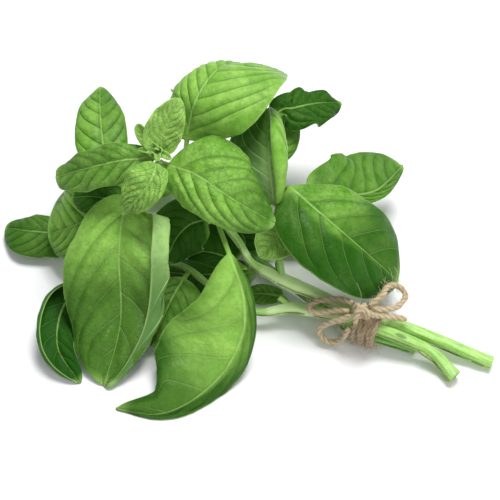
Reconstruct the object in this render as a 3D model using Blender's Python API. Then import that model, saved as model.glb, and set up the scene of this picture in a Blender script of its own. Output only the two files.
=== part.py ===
"""Basil bunch: three cut stems tied with a jute bow, lying with their leaves spread.

Everything is laid out in millimetres in the bunch's own layout frame: +X to the right of someone who
faces the bunch, +Y away from them, +Z up from the surface it lies on. One empty then turns and moves
the bunch, so that +X runs along the stems to their cut ends and the origin is under its middle.
"""

import math
from dataclasses import dataclass

import bmesh
import bpy
import numpy as np

MM = 0.001
CLEARANCE = 0.7

# Driving dimensions, in millimetres
BLADE_THICKNESS = 0.75
MIDRIB_THICKNESS = 1.25
PETIOLE_THICKNESS = 2.0
PETIOLE_HALF_WIDTH = 1.0
TIP_HALF_WIDTH = 0.5
TWINE_RADIUS = 1.2
TWINE_TURNS = 4
TIE_CENTRE = np.array((48.8, -31.2, 9.0))
TIE_DIRECTION = np.array((0.93, -0.367, 0.0))
TURN = math.radians(22.0)
SHIFT = (0.0011, -0.0006)

KNOT_HALF_SIZE = (3.8, 3.2, 2.9)
TIE_LENGTH = 11.0
TWINE_PITCH = 2.2
STEM_TO_TWINE = 0.7
SQUARENESS = 0.08
FLAT_BELOW = 3.0
RESTS_BELOW = 0.15

# Fineness of the shapes
PETIOLE_ROWS = 3
STEM_SIDES = 8
STEM_STEPS = 3
RING_STEPS = 18
KNOT_STEPS = 12
SECTION_STEPS = 24
ROUTE_SAMPLES = 200
TWINE_POINT_EVERY = 2 * 2 * TWINE_RADIUS

COLOURS = {
    "leaf": (0.13, 0.33, 0.03),
    "young": (0.26, 0.50, 0.09),
    "stem": (0.30, 0.56, 0.12),
    "twine": (0.46, 0.32, 0.18),
}


def clear_scene():
    for obj in list(bpy.data.objects):
        bpy.data.objects.remove(obj, do_unlink=True)


def material(name):
    made = bpy.data.materials.get(name) or bpy.data.materials.new(name)
    made.use_nodes = True
    shader = made.node_tree.nodes["Principled BSDF"]
    shader.inputs["Base Color"].default_value = (*COLOURS[name], 1.0)
    shader.inputs["Roughness"].default_value = 0.9 if name == "twine" else 0.45
    shader.inputs["Metallic"].default_value = 0.0
    return made


def unit(vector):
    return vector / np.linalg.norm(vector, axis=-1, keepdims=True)


def smooth_route(points, count):
    """The curve through the points, read at evenly spaced places along its length."""
    points = np.asarray(points, float)
    ends = np.vstack([2 * points[0] - points[1], points, 2 * points[-1] - points[-2]])
    a, b, c, d = ends[:-3, None], ends[1:-2, None], ends[2:-1, None], ends[3:, None]
    t = np.linspace(0, 1, 24, endpoint=False)[None, :, None]
    curve = 0.5 * (2 * b + (c - a) * t + (2 * a - 5 * b + 4 * c - d) * t**2 + (3 * b - a - 3 * c + d) * t**3)
    curve = np.vstack([curve.reshape(-1, 3), points[-1:]])
    travelled = np.concatenate([[0], np.cumsum(np.linalg.norm(np.diff(curve, axis=0), axis=1))])
    wanted = np.linspace(0, travelled[-1], count)
    return np.stack([np.interp(wanted, travelled, curve[:, axis]) for axis in range(3)], axis=1)


# Stems: the places that each one's centre line passes, from its cut end, with its radius there.
# The tie is one of them: there a stem keeps to its slot, beside or above the others.
# Leaves grow at these places.
TIE = "tie"
STEMS = {
    "stem_main": [
        (99.0, -46.0, 2.5, 2.7),
        (69.0, -33.5, 7.0, 2.6),
        (TIE, 2.9, 0.8, 2.5),
        (31.5, -19.5, 12.0, 2.4),
        (13.5, -13.0, 16.0, 2.9),
        (1.0, -8.0, 21.0, 1.5),
        (-5.0, -3.0, 30.0, 1.4),
        (-15.0, 4.0, 40.0, 1.6),
        (-27.0, 11.5, 50.0, 1.5),
        (-37.0, 16.0, 57.0, 1.3),
    ],
    "stem_front": [
        (83.0, -53.0, 2.8, 3.0),
        (73.0, -42.5, 6.5, 2.4),
        (TIE, -2.6, 2.8, 2.5),
        (32.5, -27.0, 10.5, 2.1),
        (18.0, -22.5, 9.0, 2.5),
        (3.5, -24.0, 8.0, 1.4),
        (-9.5, -19.0, 9.0, 1.3),
        (-25.5, -4.5, 12.0, 1.4),
        (-43.0, 1.5, 14.0, 1.4),
        (-58.0, 6.0, 14.0, 1.2),
    ],
    "stem_under": [
        (68.0, -39.0, 2.6, 2.1),
        (TIE, -2.3, -3.4, 2.3),
        (34.0, -21.5, 4.5, 2.1),
        (21.5, -10.5, 5.0, 2.0),
        (5.0, 5.0, 6.0, 1.6),
        (-11.0, 24.5, 7.0, 1.5),
        (-25.0, 42.0, 8.0, 1.3),
    ],
}
BRANCHES = {
    "stem_main": [
        [(13.5, -13.0, 16.0, 1.7), (12.0, -6.0, 24.0, 1.6), (11.5, 2.5, 32.0, 1.7), (12.5, 12.5, 38.0, 1.6),
         (11.5, 25.0, 42.0, 1.4)],
    ],
    "stem_front": [
        [(18.0, -22.5, 9.0, 1.3), (12.0, -18.5, 10.5, 1.3)],
    ],
}

# Twine: the places that the bow's loops and tails pass, from the knot.
KNOT_CENTRE = (44.8, -33.2, 21.2)
TWINE_ROUTES = {
    "twine_loop_front": [(40.5, -34.5, 19.5), (37.5, -34.0, 16.5), (32.5, -32.5, 12.0), (29.0, -32.5, 8.5),
                         (29.5, -34.0, 5.0), (33.0, -35.5, 3.0), (37.0, -36.0, 4.5), (39.0, -36.5, 9.0),
                         (40.0, -37.0, 14.0)],
    "twine_loop_back": [(48.5, -31.0, 21.5), (51.0, -29.0, 22.5), (54.0, -26.5, 22.5), (56.0, -21.5, 21.0),
                        (59.5, -18.0, 19.0), (63.0, -18.5, 17.0), (64.5, -21.5, 16.0), (62.5, -25.5, 16.5),
                        (59.5, -29.0, 18.0), (55.0, -31.5, 20.0), (49.5, -32.5, 21.5)],
    "twine_tail_left": [(42.0, -29.0, 21.0), (37.0, -26.0, 19.5), (31.5, -24.3, 17.3), (27.0, -24.4, 15.6),
                        (24.3, -26.4, 14.4), (26.5, -28.8, 14.2), (32.0, -29.2, 15.5), (37.0, -30.5, 17.8),
                        (40.3, -31.6, 18.8)],
    "twine_tail_right": [(42.4, -38.0, 19.5), (42.8, -37.2, 24.5), (45.0, -36.5, 26.5), (48.0, -36.5, 24.0),
                         (50.5, -35.0, 20.5), (57.0, -33.0, 17.0), (64.0, -32.0, 14.0)],
}


@dataclass
class Leaf:
    """One leaf. Left and right are those of someone looking from its foot to its tip, at its upper side.

    Each half blade starts at its rise from the midrib and turns by its bend on the way to the margin, in
    degrees, later in the half where its power is higher. An outline is where the half is widest, as a share
    of the blade, and its fullness: under 1 is rounder, over 1 more pointed. A beak is the share of its width
    that a half loses towards the tip. A flap is the share of the left half's width where its margin folds
    over, and by how many degrees. The petiole passes by the places named so on its way to the midrib.
    """

    name: str
    foot: tuple
    midrib: list
    half_widths: tuple
    faces: tuple
    left: tuple = (12, -45, 1.0)
    right: tuple = (12, -45, 1.0)
    outlines: tuple = ((0.4, 0.8), (0.4, 0.8))
    ruffle: tuple = (2, 0.6)
    detail: tuple = (10, 6)
    colour: str = "leaf"
    by: tuple = ()
    beaks: tuple = (0, 0)
    flap: tuple = (0.75, 0)


LARGE = (12, 8)
SMALL = (7, 6)
LEVEL = ((0, 0, 1), (0, 0, 1))
TO_FRONT = ((0, -0.4, 0.9), (0, -0.4, 0.9))
ROUND = ((0.45, 0.62), (0.45, 0.62))

LEAVES = [
    Leaf("leaf_crown_right", ("stem_main", 9),
         [(-32.5, 12, 59), (-21.5, 4, 62), (-6.5, -4, 56), (10, -6, 44)],
         (22.5, 15), ((0, -0.45, 0.9), (0.3, -0.35, 0.9)), (8, -45, 1.2), (5, -70, 1.2),
         outlines=((0.34, 0.8), (0.36, 0.62)), detail=LARGE),
    Leaf("leaf_crown_left", ("stem_main", 9),
         [(-41, 15, 60), (-51.5, 12, 62), (-64.5, 13, 57), (-81, 18, 46)],
         (10, 8), ((0, -0.35, 0.95), (0, -0.3, 0.95)), (5, -35, 1.2), (15, -20, 1.2),
         outlines=((0.5, 0.6), (0.45, 0.5)), ruffle=(3, 0.9)),
    Leaf("leaf_crown_front", ("stem_main", 9),
         [(-37.5, 9.5, 62), (-39.5, 1.5, 61), (-45, -3, 55), (-51.5, -4, 47)],
         (7, 10), ((0, -0.75, 0.65), (0, -0.8, 0.6)), (15, -30, 1.2), (15, -30, 1.2),
         outlines=((0.38, 0.95), (0.34, 1.0)), ruffle=(3, 0.6), detail=SMALL, colour="young"),
    Leaf("leaf_crown_back", ("stem_main", 9), [(-36, 17, 61), (-35, 20, 69), (-31, 25, 76), (-28, 29, 80)],
         (9, 8), ((0.1, -0.85, 0.5), (0.1, -0.85, 0.5)), (20, 10, 1.5), (20, 10, 1.5),
         ruffle=(3, 0.6), detail=SMALL, colour="young"),
    Leaf("leaf_left_high", ("stem_main", 8), [(-57, 19, 46), (-61, 28, 52), (-63.5, 45, 56), (-66, 67, 52)],
         (12, 11), ((0, -0.2, 1), (0, -0.1, 1)), by=[(-35, 21, 49)]),
    Leaf("leaf_top", ("stem_main", 8),
         [(-26, 27, 59), (-22, 33, 75), (-13, 49, 78), (-3, 66, 66), (2, 77, 52)],
         (17, 28), ((0, -0.45, 0.9), (0, 0.5, 0.87)), (0, -60, 1.2), (8, -30, 1.2),
         outlines=((0.3, 0.6), (0.42, 0.75)), detail=LARGE),
    Leaf("leaf_left_long", ("stem_main", 8),
         [(-49.5, 9.5, 41), (-53.5, -10, 33.5), (-53, -33, 14), (-59, -56, 1)],
         (31.5, 24), ((0, -0.6, 0.8), (0, -0.5, 0.85)), (8, 15, 1.5), (8, -30, 1.2),
         outlines=((0.26, 0.62), (0.48, 0.82)), detail=LARGE, flap=(0.73, 158)),
    Leaf("leaf_front_long", ("stem_main", 7),
         [(-8.5, -17, 38), (-2.8, -30.5, 29), (-2.8, -41, 18), (-9, -52, 9), (-21, -63, 4), (-36, -69.5, 1.5),
          (-53.5, -66, 0)],
         (7.8, 31), ((0.1, -0.5, 0.85), (-0.2, -0.6, 0.8)), (-15, -45, 1.0), (8, -35, 1.2),
         outlines=((0.66, 0.55), (0.48, 1.15)), detail=LARGE, beaks=(0, 0.5)),
    Leaf("leaf_right_long", ("branch", 3),
         [(16.5, 11.5, 46), (27.5, 0, 45), (41.5, -8, 36), (56, -12, 22), (62.5, -12.5, 14)],
         (22.5, 23), ((0.2, -0.45, 0.87), (0.5, -0.3, 0.8)), (12, -40, 1.2), (12, -40, 1.2),
         outlines=((0.62, 0.75), (0.44, 0.75)), detail=LARGE),
    Leaf("leaf_right_high", ("branch", 3), [(24, 19, 36), (37, 18, 35), (54, 26, 29), (69, 50, 20)],
         (21, 5), ((0, -0.3, 0.95), (0.3, -0.2, 0.9)), (12, -25, 1.0), outlines=((0.44, 0.6), (0.5, 0.7)),
         by=[(18, 17, 36)]),
    Leaf("leaf_folded", ("branch", 3), [(10.3, 6, 43), (8.8, 13, 50), (7.8, 27, 54), (7.5, 49, 55)],
         (20, 18), ((0.1, 0.85, -0.5), (0.1, 0.8, -0.6)), (-20, -190, 2), (-5, -20, 1.5),
         outlines=((0.45, 1.0), (0.4, 0.8))),
    Leaf("leaf_back_right", ("branch", 4), [(12, 56, 45), (20.5, 59, 47), (30.5, 66, 43), (41, 73, 37)],
         (10, 11), ((0, -0.3, 0.95), (0.2, -0.2, 0.95)), ruffle=(3, 2)),
    Leaf("leaf_left_end", ("stem_front", 9),
         [(-77, 14, 8), (-88, 18, 10), (-98, 19.5, 10), (-109.5, 26.5, 4)],
         (12, 9), ((0, -0.3, 0.95), (0, -0.3, 0.95)), outlines=ROUND),
    Leaf("leaf_left_mid", ("stem_front", 9), [(-59, 17, 27), (-67.5, 12, 27), (-78, 11.5, 21), (-88, 14, 14)],
         (15, 21), ((0, -0.4, 0.9), (-0.3, -0.4, 0.85)), outlines=((0.45, 0.62), (0.6, 0.48))),
    Leaf("leaf_left_curled", ("stem_front", 8), [(-69, -14, 8), (-78, -21, 9), (-79, -40, 6), (-69, -54, 0)],
         (8, 13), ((0, -0.5, 0.85), (0, -0.5, 0.85)), (-5, 5, 1.5), (0, 170, 2.2)),
    Leaf("leaf_under_long", ("stem_front", 7),
         [(-28, -12, 15), (-32, -21, 15), (-37, -31, 10), (-41, -39, 5)],
         (13, 10), ((0, -0.3, 0.95), (0, -0.3, 0.95)), outlines=((0.33, 0.65), (0.4, 0.8))),
    Leaf("leaf_joint", ("stem_front", 4), [(13.5, -13.5, 5), (8, -12, 5), (1, -10.5, 3.5), (-5, -9, 2)],
         (5, 5), ((0, -0.3, 0.95), (0, -0.3, 0.95)), detail=SMALL),
    Leaf("leaf_small_curled", ("branch", 2),
         [(15.5, -0.5, 33.5), (13, -3, 33.5), (9.5, -6.5, 32.5), (4, -11.5, 29)],
         (9, 13), ((0, -0.6, 0.8), (0, -0.6, 0.8)), (10, 20, 1.5), (15, 80, 1.5), detail=SMALL, colour="young"),
    Leaf("leaf_inner_high", ("stem_main", 7), [(-18, 2, 37), (-25, 1, 35), (-31, -3, 30), (-35, -10, 23)],
         (12, 15), TO_FRONT, outlines=((0.35, 0.65), (0.4, 0.6)), detail=SMALL),
    Leaf("leaf_inner_low", ("stem_main", 5), [(-6, -6, 19), (-11, -3.5, 20), (-19, -1, 20), (-29, 0, 18)],
         (6, 15), TO_FRONT, outlines=((0.35, 0.7), (0.35, 0.7)), by=[(-2.5, -9, 19)], detail=SMALL),
    Leaf("leaf_inner_right", ("stem_under", 4), [(5.5, 8.5, 10), (3.5, 13, 13), (0, 19, 15), (-4, 27, 16)],
         (10, 10), ((0, -0.3, 0.95), (0, -0.3, 0.95)), detail=SMALL),
    Leaf("leaf_inner_under", ("stem_under", 4), [(0, 0.5, 3.4), (-12, 0, 3.6), (-26, 0.5, 3), (-40, 4, 1)],
         (11, 12), LEVEL, outlines=((0.45, 0.6), (0.45, 0.45)), detail=SMALL),
    Leaf("leaf_left_inner", ("stem_front", 8), [(-54, 16.5, 31), (-62, 16, 35), (-69, 17, 35), (-76, 19, 32)],
         (9, 9), TO_FRONT, by=[(-47, 10, 22)], detail=SMALL),
    Leaf("leaf_back_left", ("stem_under", 6), [(-34, 47, 9), (-46, 52, 10), (-58, 57, 6), (-68, 60, 0)],
         (12, 12), LEVEL),
    Leaf("leaf_back_middle", ("stem_under", 6), [(-22, 49, 10), (-16, 58, 12), (-8, 68, 8), (0, 78, 0)],
         (12, 12), LEVEL),
    Leaf("leaf_back_low", ("stem_under", 4), [(12, 14, 8), (26, 28, 9), (38, 38, 6), (50, 48, 0)],
         (13, 13), LEVEL),
    Leaf("leaf_back_high", ("branch", 4), [(9, 38, 33), (14, 52, 35), (16, 66, 36), (19, 77, 38)],
         (8, 8), ((0, -0.2, 1), (0, -0.2, 1)), detail=SMALL),
]

# The bud at the main stem's tip, fused to the leaf behind it: its place, direction and size, and the
# small leaves beside it as route, half width and faces
BUD_LEAF = "leaf_crown_back"
BUD = ((-37.2, 15.4, 62.6), (-0.3, -0.5, 0.8), 5.0)
BUD_SIDE_LEAVES = [
    ([(-37.5, 16.0, 63.5), (-41.5, 19.5, 66.0), (-44.0, 21.5, 69.0), (-45.5, 23.0, 71.5)], 3.5, (0.0, -0.8, 0.6)),
]


def ease(low, high, value):
    """Rises smoothly from 0 at low to 1 at high."""
    share = np.clip((value - low) / (high - low), 0, 1)
    return share * share * (3 - 2 * share)


def half_profile(along, widest, fullness):
    """The ovate outline: 1 at the widest place, 0 at both ends."""
    along = np.clip(along, 0, 1)
    rising = 1.35 * widest * fullness
    falling = 1.35 * (1 - widest) * fullness
    peak = widest**rising * (1 - widest) ** falling
    return along**rising * (1 - along) ** falling / peak


def tie_axes():
    """Along the stems at the tie, and level across them to the back."""
    along = unit(TIE_DIRECTION)
    return along, np.array((-along[1], along[0], 0))


def tie_place(slot, distance):
    """The centre of a stem's slot in the tie, this far towards the cut ends."""
    along, across = tie_axes()
    return TIE_CENTRE + distance * along + slot[0] * across + np.array((0, 0, slot[1]))


def stem_places(places):
    """The centre line's places and radii, with the tie's slot as a straight stretch."""
    routed = []
    for place in places:
        if place[0] == TIE:
            for distance in (TIE_LENGTH / 2, -TIE_LENGTH / 2):
                routed.append((*tie_place(place[1:3], distance), place[3]))
        else:
            routed.append(place)
    return routed


def stem_place(foot):
    stem, index = foot
    place = BRANCHES["stem_main"][0][index] if stem == "branch" else STEMS[stem][index]
    return np.array(place[:3]), place[3]


def leaf_route(leaf):
    """The centre line from beside the stem, along the petiole and midrib, to the tip."""
    centre, radius = stem_place(leaf.foot)
    rest = [*leaf.by, *leaf.midrib]
    towards = unit(np.array(rest[0], float) - centre)
    return [centre + towards * (radius + CLEARANCE + PETIOLE_THICKNESS / 2), *rest]


def half_section(reach, rise, bend, power, fold, turn):
    """How far out and up a half blade's section has gone at this share of its width."""
    out, up = np.zeros_like(reach), np.zeros_like(reach)
    for step in range(SECTION_STEPS):
        part = reach * (step + 0.5) / SECTION_STEPS
        angle = np.radians(rise + bend * part**power + turn * ease(fold - 0.07, fold + 0.07, part))
        out += reach / SECTION_STEPS * np.cos(angle)
        up += reach / SECTION_STEPS * np.sin(angle)
    return out, up


def sheet_points(route, blade_foot, half_widths, faces, sides, outlines, ruffle, across, along,
                 beaks=(0, 0), flap=(0.75, 0)):
    """Where a leaf's sheet lies: across from -1 (left) to 1, along from -1 (foot) over 0 (blade) to 1."""
    line = smooth_route(route, ROUTE_SAMPLES)
    travelled = np.linspace(0, 1, ROUTE_SAMPLES)
    start = travelled[np.argmin(np.linalg.norm(line - np.array(blade_foot), axis=1))]
    where = np.where(along < 0, (1 + along) * start, start + along * (1 - start))
    tangents = unit(np.gradient(line, axis=0))
    spine = np.stack([np.interp(where, travelled, line[:, axis]) for axis in range(3)], axis=-1)
    tangent = unit(np.stack([np.interp(where, travelled, tangents[:, axis]) for axis in range(3)], axis=-1))
    blend = where[:, None]
    face = unit((1 - blend) * np.array(faces[0], float) + blend * np.array(faces[1], float))
    side = unit(np.cross(tangent, face))
    normal = np.cross(side, tangent)

    is_left = across < 0
    rise, bend, power = (np.where(is_left, left, right) for left, right in zip(*sides))
    widest, fullness = (np.where(is_left, left, right) for left, right in zip(*outlines))
    reach = np.abs(across)
    out, up = half_section(reach, rise, bend, power, flap[0], np.where(is_left, flap[1], 0))
    full = np.where(is_left, *half_widths) * np.where(along > 0, half_profile(along, widest, fullness), 0)
    full *= 1 - np.where(is_left, *beaks) * ease(0.72, 0.85, along)
    narrowest = PETIOLE_HALF_WIDTH + (TIP_HALF_WIDTH - PETIOLE_HALF_WIDTH) * np.clip(along, 0, 1)
    width = np.maximum(full, narrowest)
    blade = np.clip(full / FLAT_BELOW, 0, 1)
    waves, height = ruffle
    lift = height * reach**2 * np.sin(2 * math.pi * waves * along + np.sign(across))
    sideways = np.sign(across) * width * (blade * out + (1 - blade) * reach)
    points = spine + side * sideways[:, None] + normal * (blade * (width * up + lift))[:, None]
    points[:, 2] = np.maximum(points[:, 2], BLADE_THICKNESS / 2)
    return points


def leaf_points(leaf, across, along):
    return sheet_points(leaf_route(leaf), leaf.midrib[0], leaf.half_widths, leaf.faces,
                        (leaf.left, leaf.right), leaf.outlines, leaf.ruffle, across, along, leaf.beaks, leaf.flap)


def sheet_weights(across, along):
    """Thickness as a share of the petiole's: full there, then the midrib and the blade."""
    rib = MIDRIB_THICKNESS / PETIOLE_THICKNESS
    blade = BLADE_THICKNESS / PETIOLE_THICKNESS
    thin = np.where(np.abs(across) < 0.1, rib + (blade - rib) * np.clip(along, 0, 1), blade)
    return np.where(along < 0, 1, 1 + (thin - 1) * np.clip(along / 0.12, 0, 1))


def sheet_object(name, colour, points_of, detail, petiole_rows=PETIOLE_ROWS):
    """A closed leaf: a grid mapped onto its sheet, split into triangles and thickened both ways."""
    rows, columns = detail
    made = bmesh.new()
    bmesh.ops.create_grid(made, x_segments=columns, y_segments=rows + petiole_rows, size=1.0)
    across = np.array([vert.co.x for vert in made.verts])
    row = (np.array([vert.co.y for vert in made.verts]) + 1) / 2 * (rows + petiole_rows) - petiole_rows
    share = np.clip(row / rows, 0, 1)
    eased = 0.5 * share + 0.25 * (1 - np.cos(math.pi * share))
    along = np.where(row < 0, row / max(petiole_rows, 1), eased)
    for vert, point in zip(made.verts, points_of(across, along)):
        vert.co = point * MM
    bmesh.ops.triangulate(made, faces=made.faces[:])
    mesh = bpy.data.meshes.new(name)
    made.to_mesh(mesh)
    made.free()
    obj = bpy.data.objects.new(name + "_sheet", mesh)
    bpy.context.collection.objects.link(obj)
    group = obj.vertex_groups.new(name="thickness")
    for index, weight in enumerate(sheet_weights(across, along)):
        group.add([index], float(weight), "REPLACE")
    thicken = obj.modifiers.new("thickness", "SOLIDIFY")
    thicken.thickness = PETIOLE_THICKNESS * MM
    thicken.offset = 0
    thicken.vertex_group = "thickness"
    thicken.thickness_vertex_group = 0.0
    return as_mesh(obj, name, colour)


def as_mesh(obj, name, colour):
    """The object as its evaluated mesh: curve or modifiers gone, and what nears the surface flat on it."""
    graph = bpy.context.evaluated_depsgraph_get()
    mesh = bpy.data.meshes.new_from_object(obj.evaluated_get(graph))
    mesh.name = name
    mesh.materials.clear()
    mesh.materials.append(material(colour))
    bpy.data.objects.remove(obj, do_unlink=True)
    closed = bmesh.new()
    closed.from_mesh(mesh)
    bmesh.ops.remove_doubles(closed, verts=closed.verts[:], dist=1e-6)
    bmesh.ops.recalc_face_normals(closed, faces=closed.faces[:])
    for vert in closed.verts:
        if vert.co.z < RESTS_BELOW * MM:
            vert.co.z = 0
    closed.to_mesh(mesh)
    closed.free()
    made = bpy.data.objects.new(name, mesh)
    bpy.context.collection.objects.link(made)
    return made


def join_by_union(target, others):
    """Fuses the others into the target with one Boolean, then removes them."""
    if not others:
        return target
    repeats = bpy.data.collections.new(target.name + "_repeats")
    bpy.context.scene.collection.children.link(repeats)
    for other in others:
        repeats.objects.link(other)
    fuse = target.modifiers.new("fuse", "BOOLEAN")
    fuse.operation = "UNION"
    fuse.operand_type = "COLLECTION"
    fuse.collection = repeats
    fuse.solver = "EXACT"
    name = target.name
    colour = target.data.materials[0].name
    target.name = name + "_before"
    fused = as_mesh(target, name, colour)
    for other in others:
        bpy.data.objects.remove(other, do_unlink=True)
    bpy.data.collections.remove(repeats)
    return fused


def stem_section():
    """The stem's rounded-square section, which its curves are bevelled with."""
    data = bpy.data.curves.new("stem_section", "CURVE")
    spline = data.splines.new("POLY")
    spline.points.add(STEM_SIDES - 1)
    for index, point in enumerate(spline.points):
        angle = 2 * math.pi * (index + 0.5) / STEM_SIDES
        reach = MM * (1 - SQUARENESS * math.cos(4 * angle))
        point.co = (reach * math.cos(angle), reach * math.sin(angle), 0, 1)
    spline.use_cyclic_u = True
    section = bpy.data.objects.new("stem_section", data)
    bpy.context.collection.objects.link(section)
    section.hide_render = True
    section.display_type = "WIRE"
    return section


def line_curve(name, line, radii=None, cyclic=False):
    """A curve object along the line, in millimetres, with each point's radius as a factor."""
    data = bpy.data.curves.new(name, "CURVE")
    data.dimensions = "3D"
    data.use_fill_caps = not cyclic
    spline = data.splines.new("POLY")
    spline.points.add(len(line) - 1)
    for index, place in enumerate(line):
        spline.points[index].co = (*(np.array(place) * MM), 1)
        spline.points[index].radius = 1 if radii is None else radii[index]
    spline.use_cyclic_u = cyclic
    obj = bpy.data.objects.new(name, data)
    bpy.context.collection.objects.link(obj)
    return obj


def stem_curve(name, places, section):
    places = np.array(places)
    count = STEM_STEPS * (len(places) - 1) + 1
    passed = np.concatenate([[0], np.cumsum(np.linalg.norm(np.diff(places[:, :3], axis=0), axis=1))])
    radii = np.interp(np.linspace(0, passed[-1], count), passed, places[:, 3])
    obj = line_curve(name, smooth_route(places[:, :3], count), radii)
    obj.data.bevel_mode = "OBJECT"
    obj.data.bevel_object = section
    return obj


def make_stems():
    section = stem_section()
    made = []
    for name, places in STEMS.items():
        trunk = as_mesh(stem_curve(name + "_line", stem_places(places), section), name, "stem")
        branches = [
            as_mesh(stem_curve(f"{name}_{index}_line", branch, section), f"{name}_{index}", "stem")
            for index, branch in enumerate(BRANCHES.get(name, []))
        ]
        made.append(join_by_union(trunk, branches))
    bpy.data.objects.remove(section, do_unlink=True)
    return made


def small_leaf(name, route, half_width, face):
    """A leaf of the bud, without a petiole."""
    return sheet_object(name, "young", lambda across, along: sheet_points(
        route, route[0], (half_width, half_width), (face, face), ((25, 20, 1), (25, 20, 1)), ROUND, (1, 0),
        across, along), (5, 4), petiole_rows=0)


def add_bud(leaf):
    """Fuses the growing tip to the leaf: a rounded core, two crossed pairs of tiny leaves and the side ones."""
    place, towards, size = np.array(BUD[0]), unit(np.array(BUD[1])), BUD[2]
    core_mesh = bmesh.new()
    bmesh.ops.create_icosphere(core_mesh, subdivisions=1, radius=0.36 * size * MM)
    bmesh.ops.translate(core_mesh, verts=core_mesh.verts[:], vec=place * MM)
    mesh = bpy.data.meshes.new("bud_core")
    core_mesh.to_mesh(mesh)
    core_mesh.free()
    core = bpy.data.objects.new("bud_core", mesh)
    bpy.context.collection.objects.link(core)
    first = unit(np.cross(towards, (0.3, 1, 0.1)))
    others = [core]
    for index in range(4):
        angle = index * math.pi / 2 + 0.4
        outward = first * math.cos(angle) + np.cross(towards, first) * math.sin(angle)
        reach = size * (1.0 if index % 2 else 0.8)
        route = [place + 0.05 * reach * towards, place + reach * (0.45 * outward + 0.35 * towards),
                 place + reach * (0.75 * outward + 0.8 * towards)]
        others.append(small_leaf(f"bud_{index}", route, 0.33 * size, towards - outward))
    for index, (route, half_width, face) in enumerate(BUD_SIDE_LEAVES):
        others.append(small_leaf(f"bud_side_{index}", route, half_width, np.array(face)))
    return join_by_union(leaf, others)


def make_wraps():
    """The turns of twine round the stems: rings side by side that follow the stems' outer outline."""
    along, across = tie_axes()
    slots = [place[1:4] for places in STEMS.values() for place in places if place[0] == TIE]
    rings = []
    for turn in range(TWINE_TURNS):
        centre = TIE_CENTRE + (turn - (TWINE_TURNS - 1) / 2) * TWINE_PITCH * along
        line = []
        for step in range(RING_STEPS):
            angle = 2 * math.pi * (step + 0.5) / RING_STEPS
            way = np.array((math.cos(angle), math.sin(angle)))
            furthest = max(slots, key=lambda slot: np.dot(slot[:2], way) + slot[2])
            reach = np.array(furthest[:2]) + (furthest[2] + STEM_TO_TWINE + TWINE_RADIUS) * way
            line.append(centre + reach[0] * across + np.array((0, 0, reach[1])))
        ring = line_curve(f"wrap_{turn}_line", line, cyclic=True)
        ring.data.bevel_depth = TWINE_RADIUS * MM
        ring.data.bevel_resolution = 1
        rings.append(as_mesh(ring, f"wrap_{turn}", "twine"))
    rings[0].name = "twine_wraps"
    return join_by_union(rings[0], rings[1:])


def make_knot():
    """The bow's knot: a lump of crossing turns on a rounded core."""
    lump = bmesh.new()
    bmesh.ops.create_icosphere(lump, subdivisions=2, radius=MM)
    bmesh.ops.scale(lump, vec=KNOT_HALF_SIZE, verts=lump.verts[:])
    bmesh.ops.translate(lump, verts=lump.verts[:], vec=np.array(KNOT_CENTRE) * MM)
    mesh = bpy.data.meshes.new("twine_knot")
    lump.to_mesh(mesh)
    lump.free()
    mesh.materials.append(material("twine"))
    knot = bpy.data.objects.new("twine_knot", mesh)
    bpy.context.collection.objects.link(knot)
    turns = []
    for index, tilt in enumerate((-0.6, 0.5)):
        line = []
        for step in range(KNOT_STEPS):
            angle = 2 * math.pi * (step + 0.37 * index + 0.2) / KNOT_STEPS
            out = (KNOT_HALF_SIZE[1] - 0.6) * math.cos(angle)
            line.append(np.array(KNOT_CENTRE) + np.array(
                (tilt * out * 0.8, out, (KNOT_HALF_SIZE[2] - 0.6) * math.sin(angle))))
        turn = line_curve(f"knot_{index}_line", line, cyclic=True)
        turn.data.bevel_depth = TWINE_RADIUS * MM
        turn.data.bevel_resolution = 1
        turns.append(as_mesh(turn, f"knot_{index}", "twine"))
    return join_by_union(knot, turns)


def make_bow():
    """The bow's two loops and two tails, each a plain tube along its route."""
    made = []
    for name, route in TWINE_ROUTES.items():
        length = np.linalg.norm(np.diff(smooth_route(route, ROUTE_SAMPLES), axis=0), axis=1).sum()
        count = int(length / TWINE_POINT_EVERY) + 1
        strand = line_curve(name, smooth_route(route, count))
        strand.data.bevel_depth = TWINE_RADIUS * MM
        strand.data.bevel_resolution = 2
        strand.data.materials.append(material("twine"))
        made.append(strand)
    return made


def main():
    clear_scene()
    stand = bpy.data.objects.new("bunch", None)
    bpy.context.collection.objects.link(stand)
    stand.location = (*SHIFT, 0)
    stand.rotation_euler.z = TURN
    pieces = make_stems()
    pieces += [sheet_object(leaf.name, leaf.colour, lambda across, along, leaf=leaf: leaf_points(
        leaf, across, along), leaf.detail) for leaf in LEAVES]
    pieces = [add_bud(piece) if piece.name == BUD_LEAF else piece for piece in pieces]
    pieces += [make_wraps(), make_knot(), *make_bow()]
    for piece in pieces:
        piece.parent = stand


if __name__ == "__main__":
    main()
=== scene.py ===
"""Basil bunch: the visual model, laid over its measured frame.

Everything is laid out in millimetres in the bunch's own layout frame: +X to the right of someone who
faces the bunch, +Y away from them, +Z up. `to_frame` turns it into the shared frame, in metres.
"""

import logging
import math
from dataclasses import dataclass, field
from enum import Enum
from typing import Callable, Sequence

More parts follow.
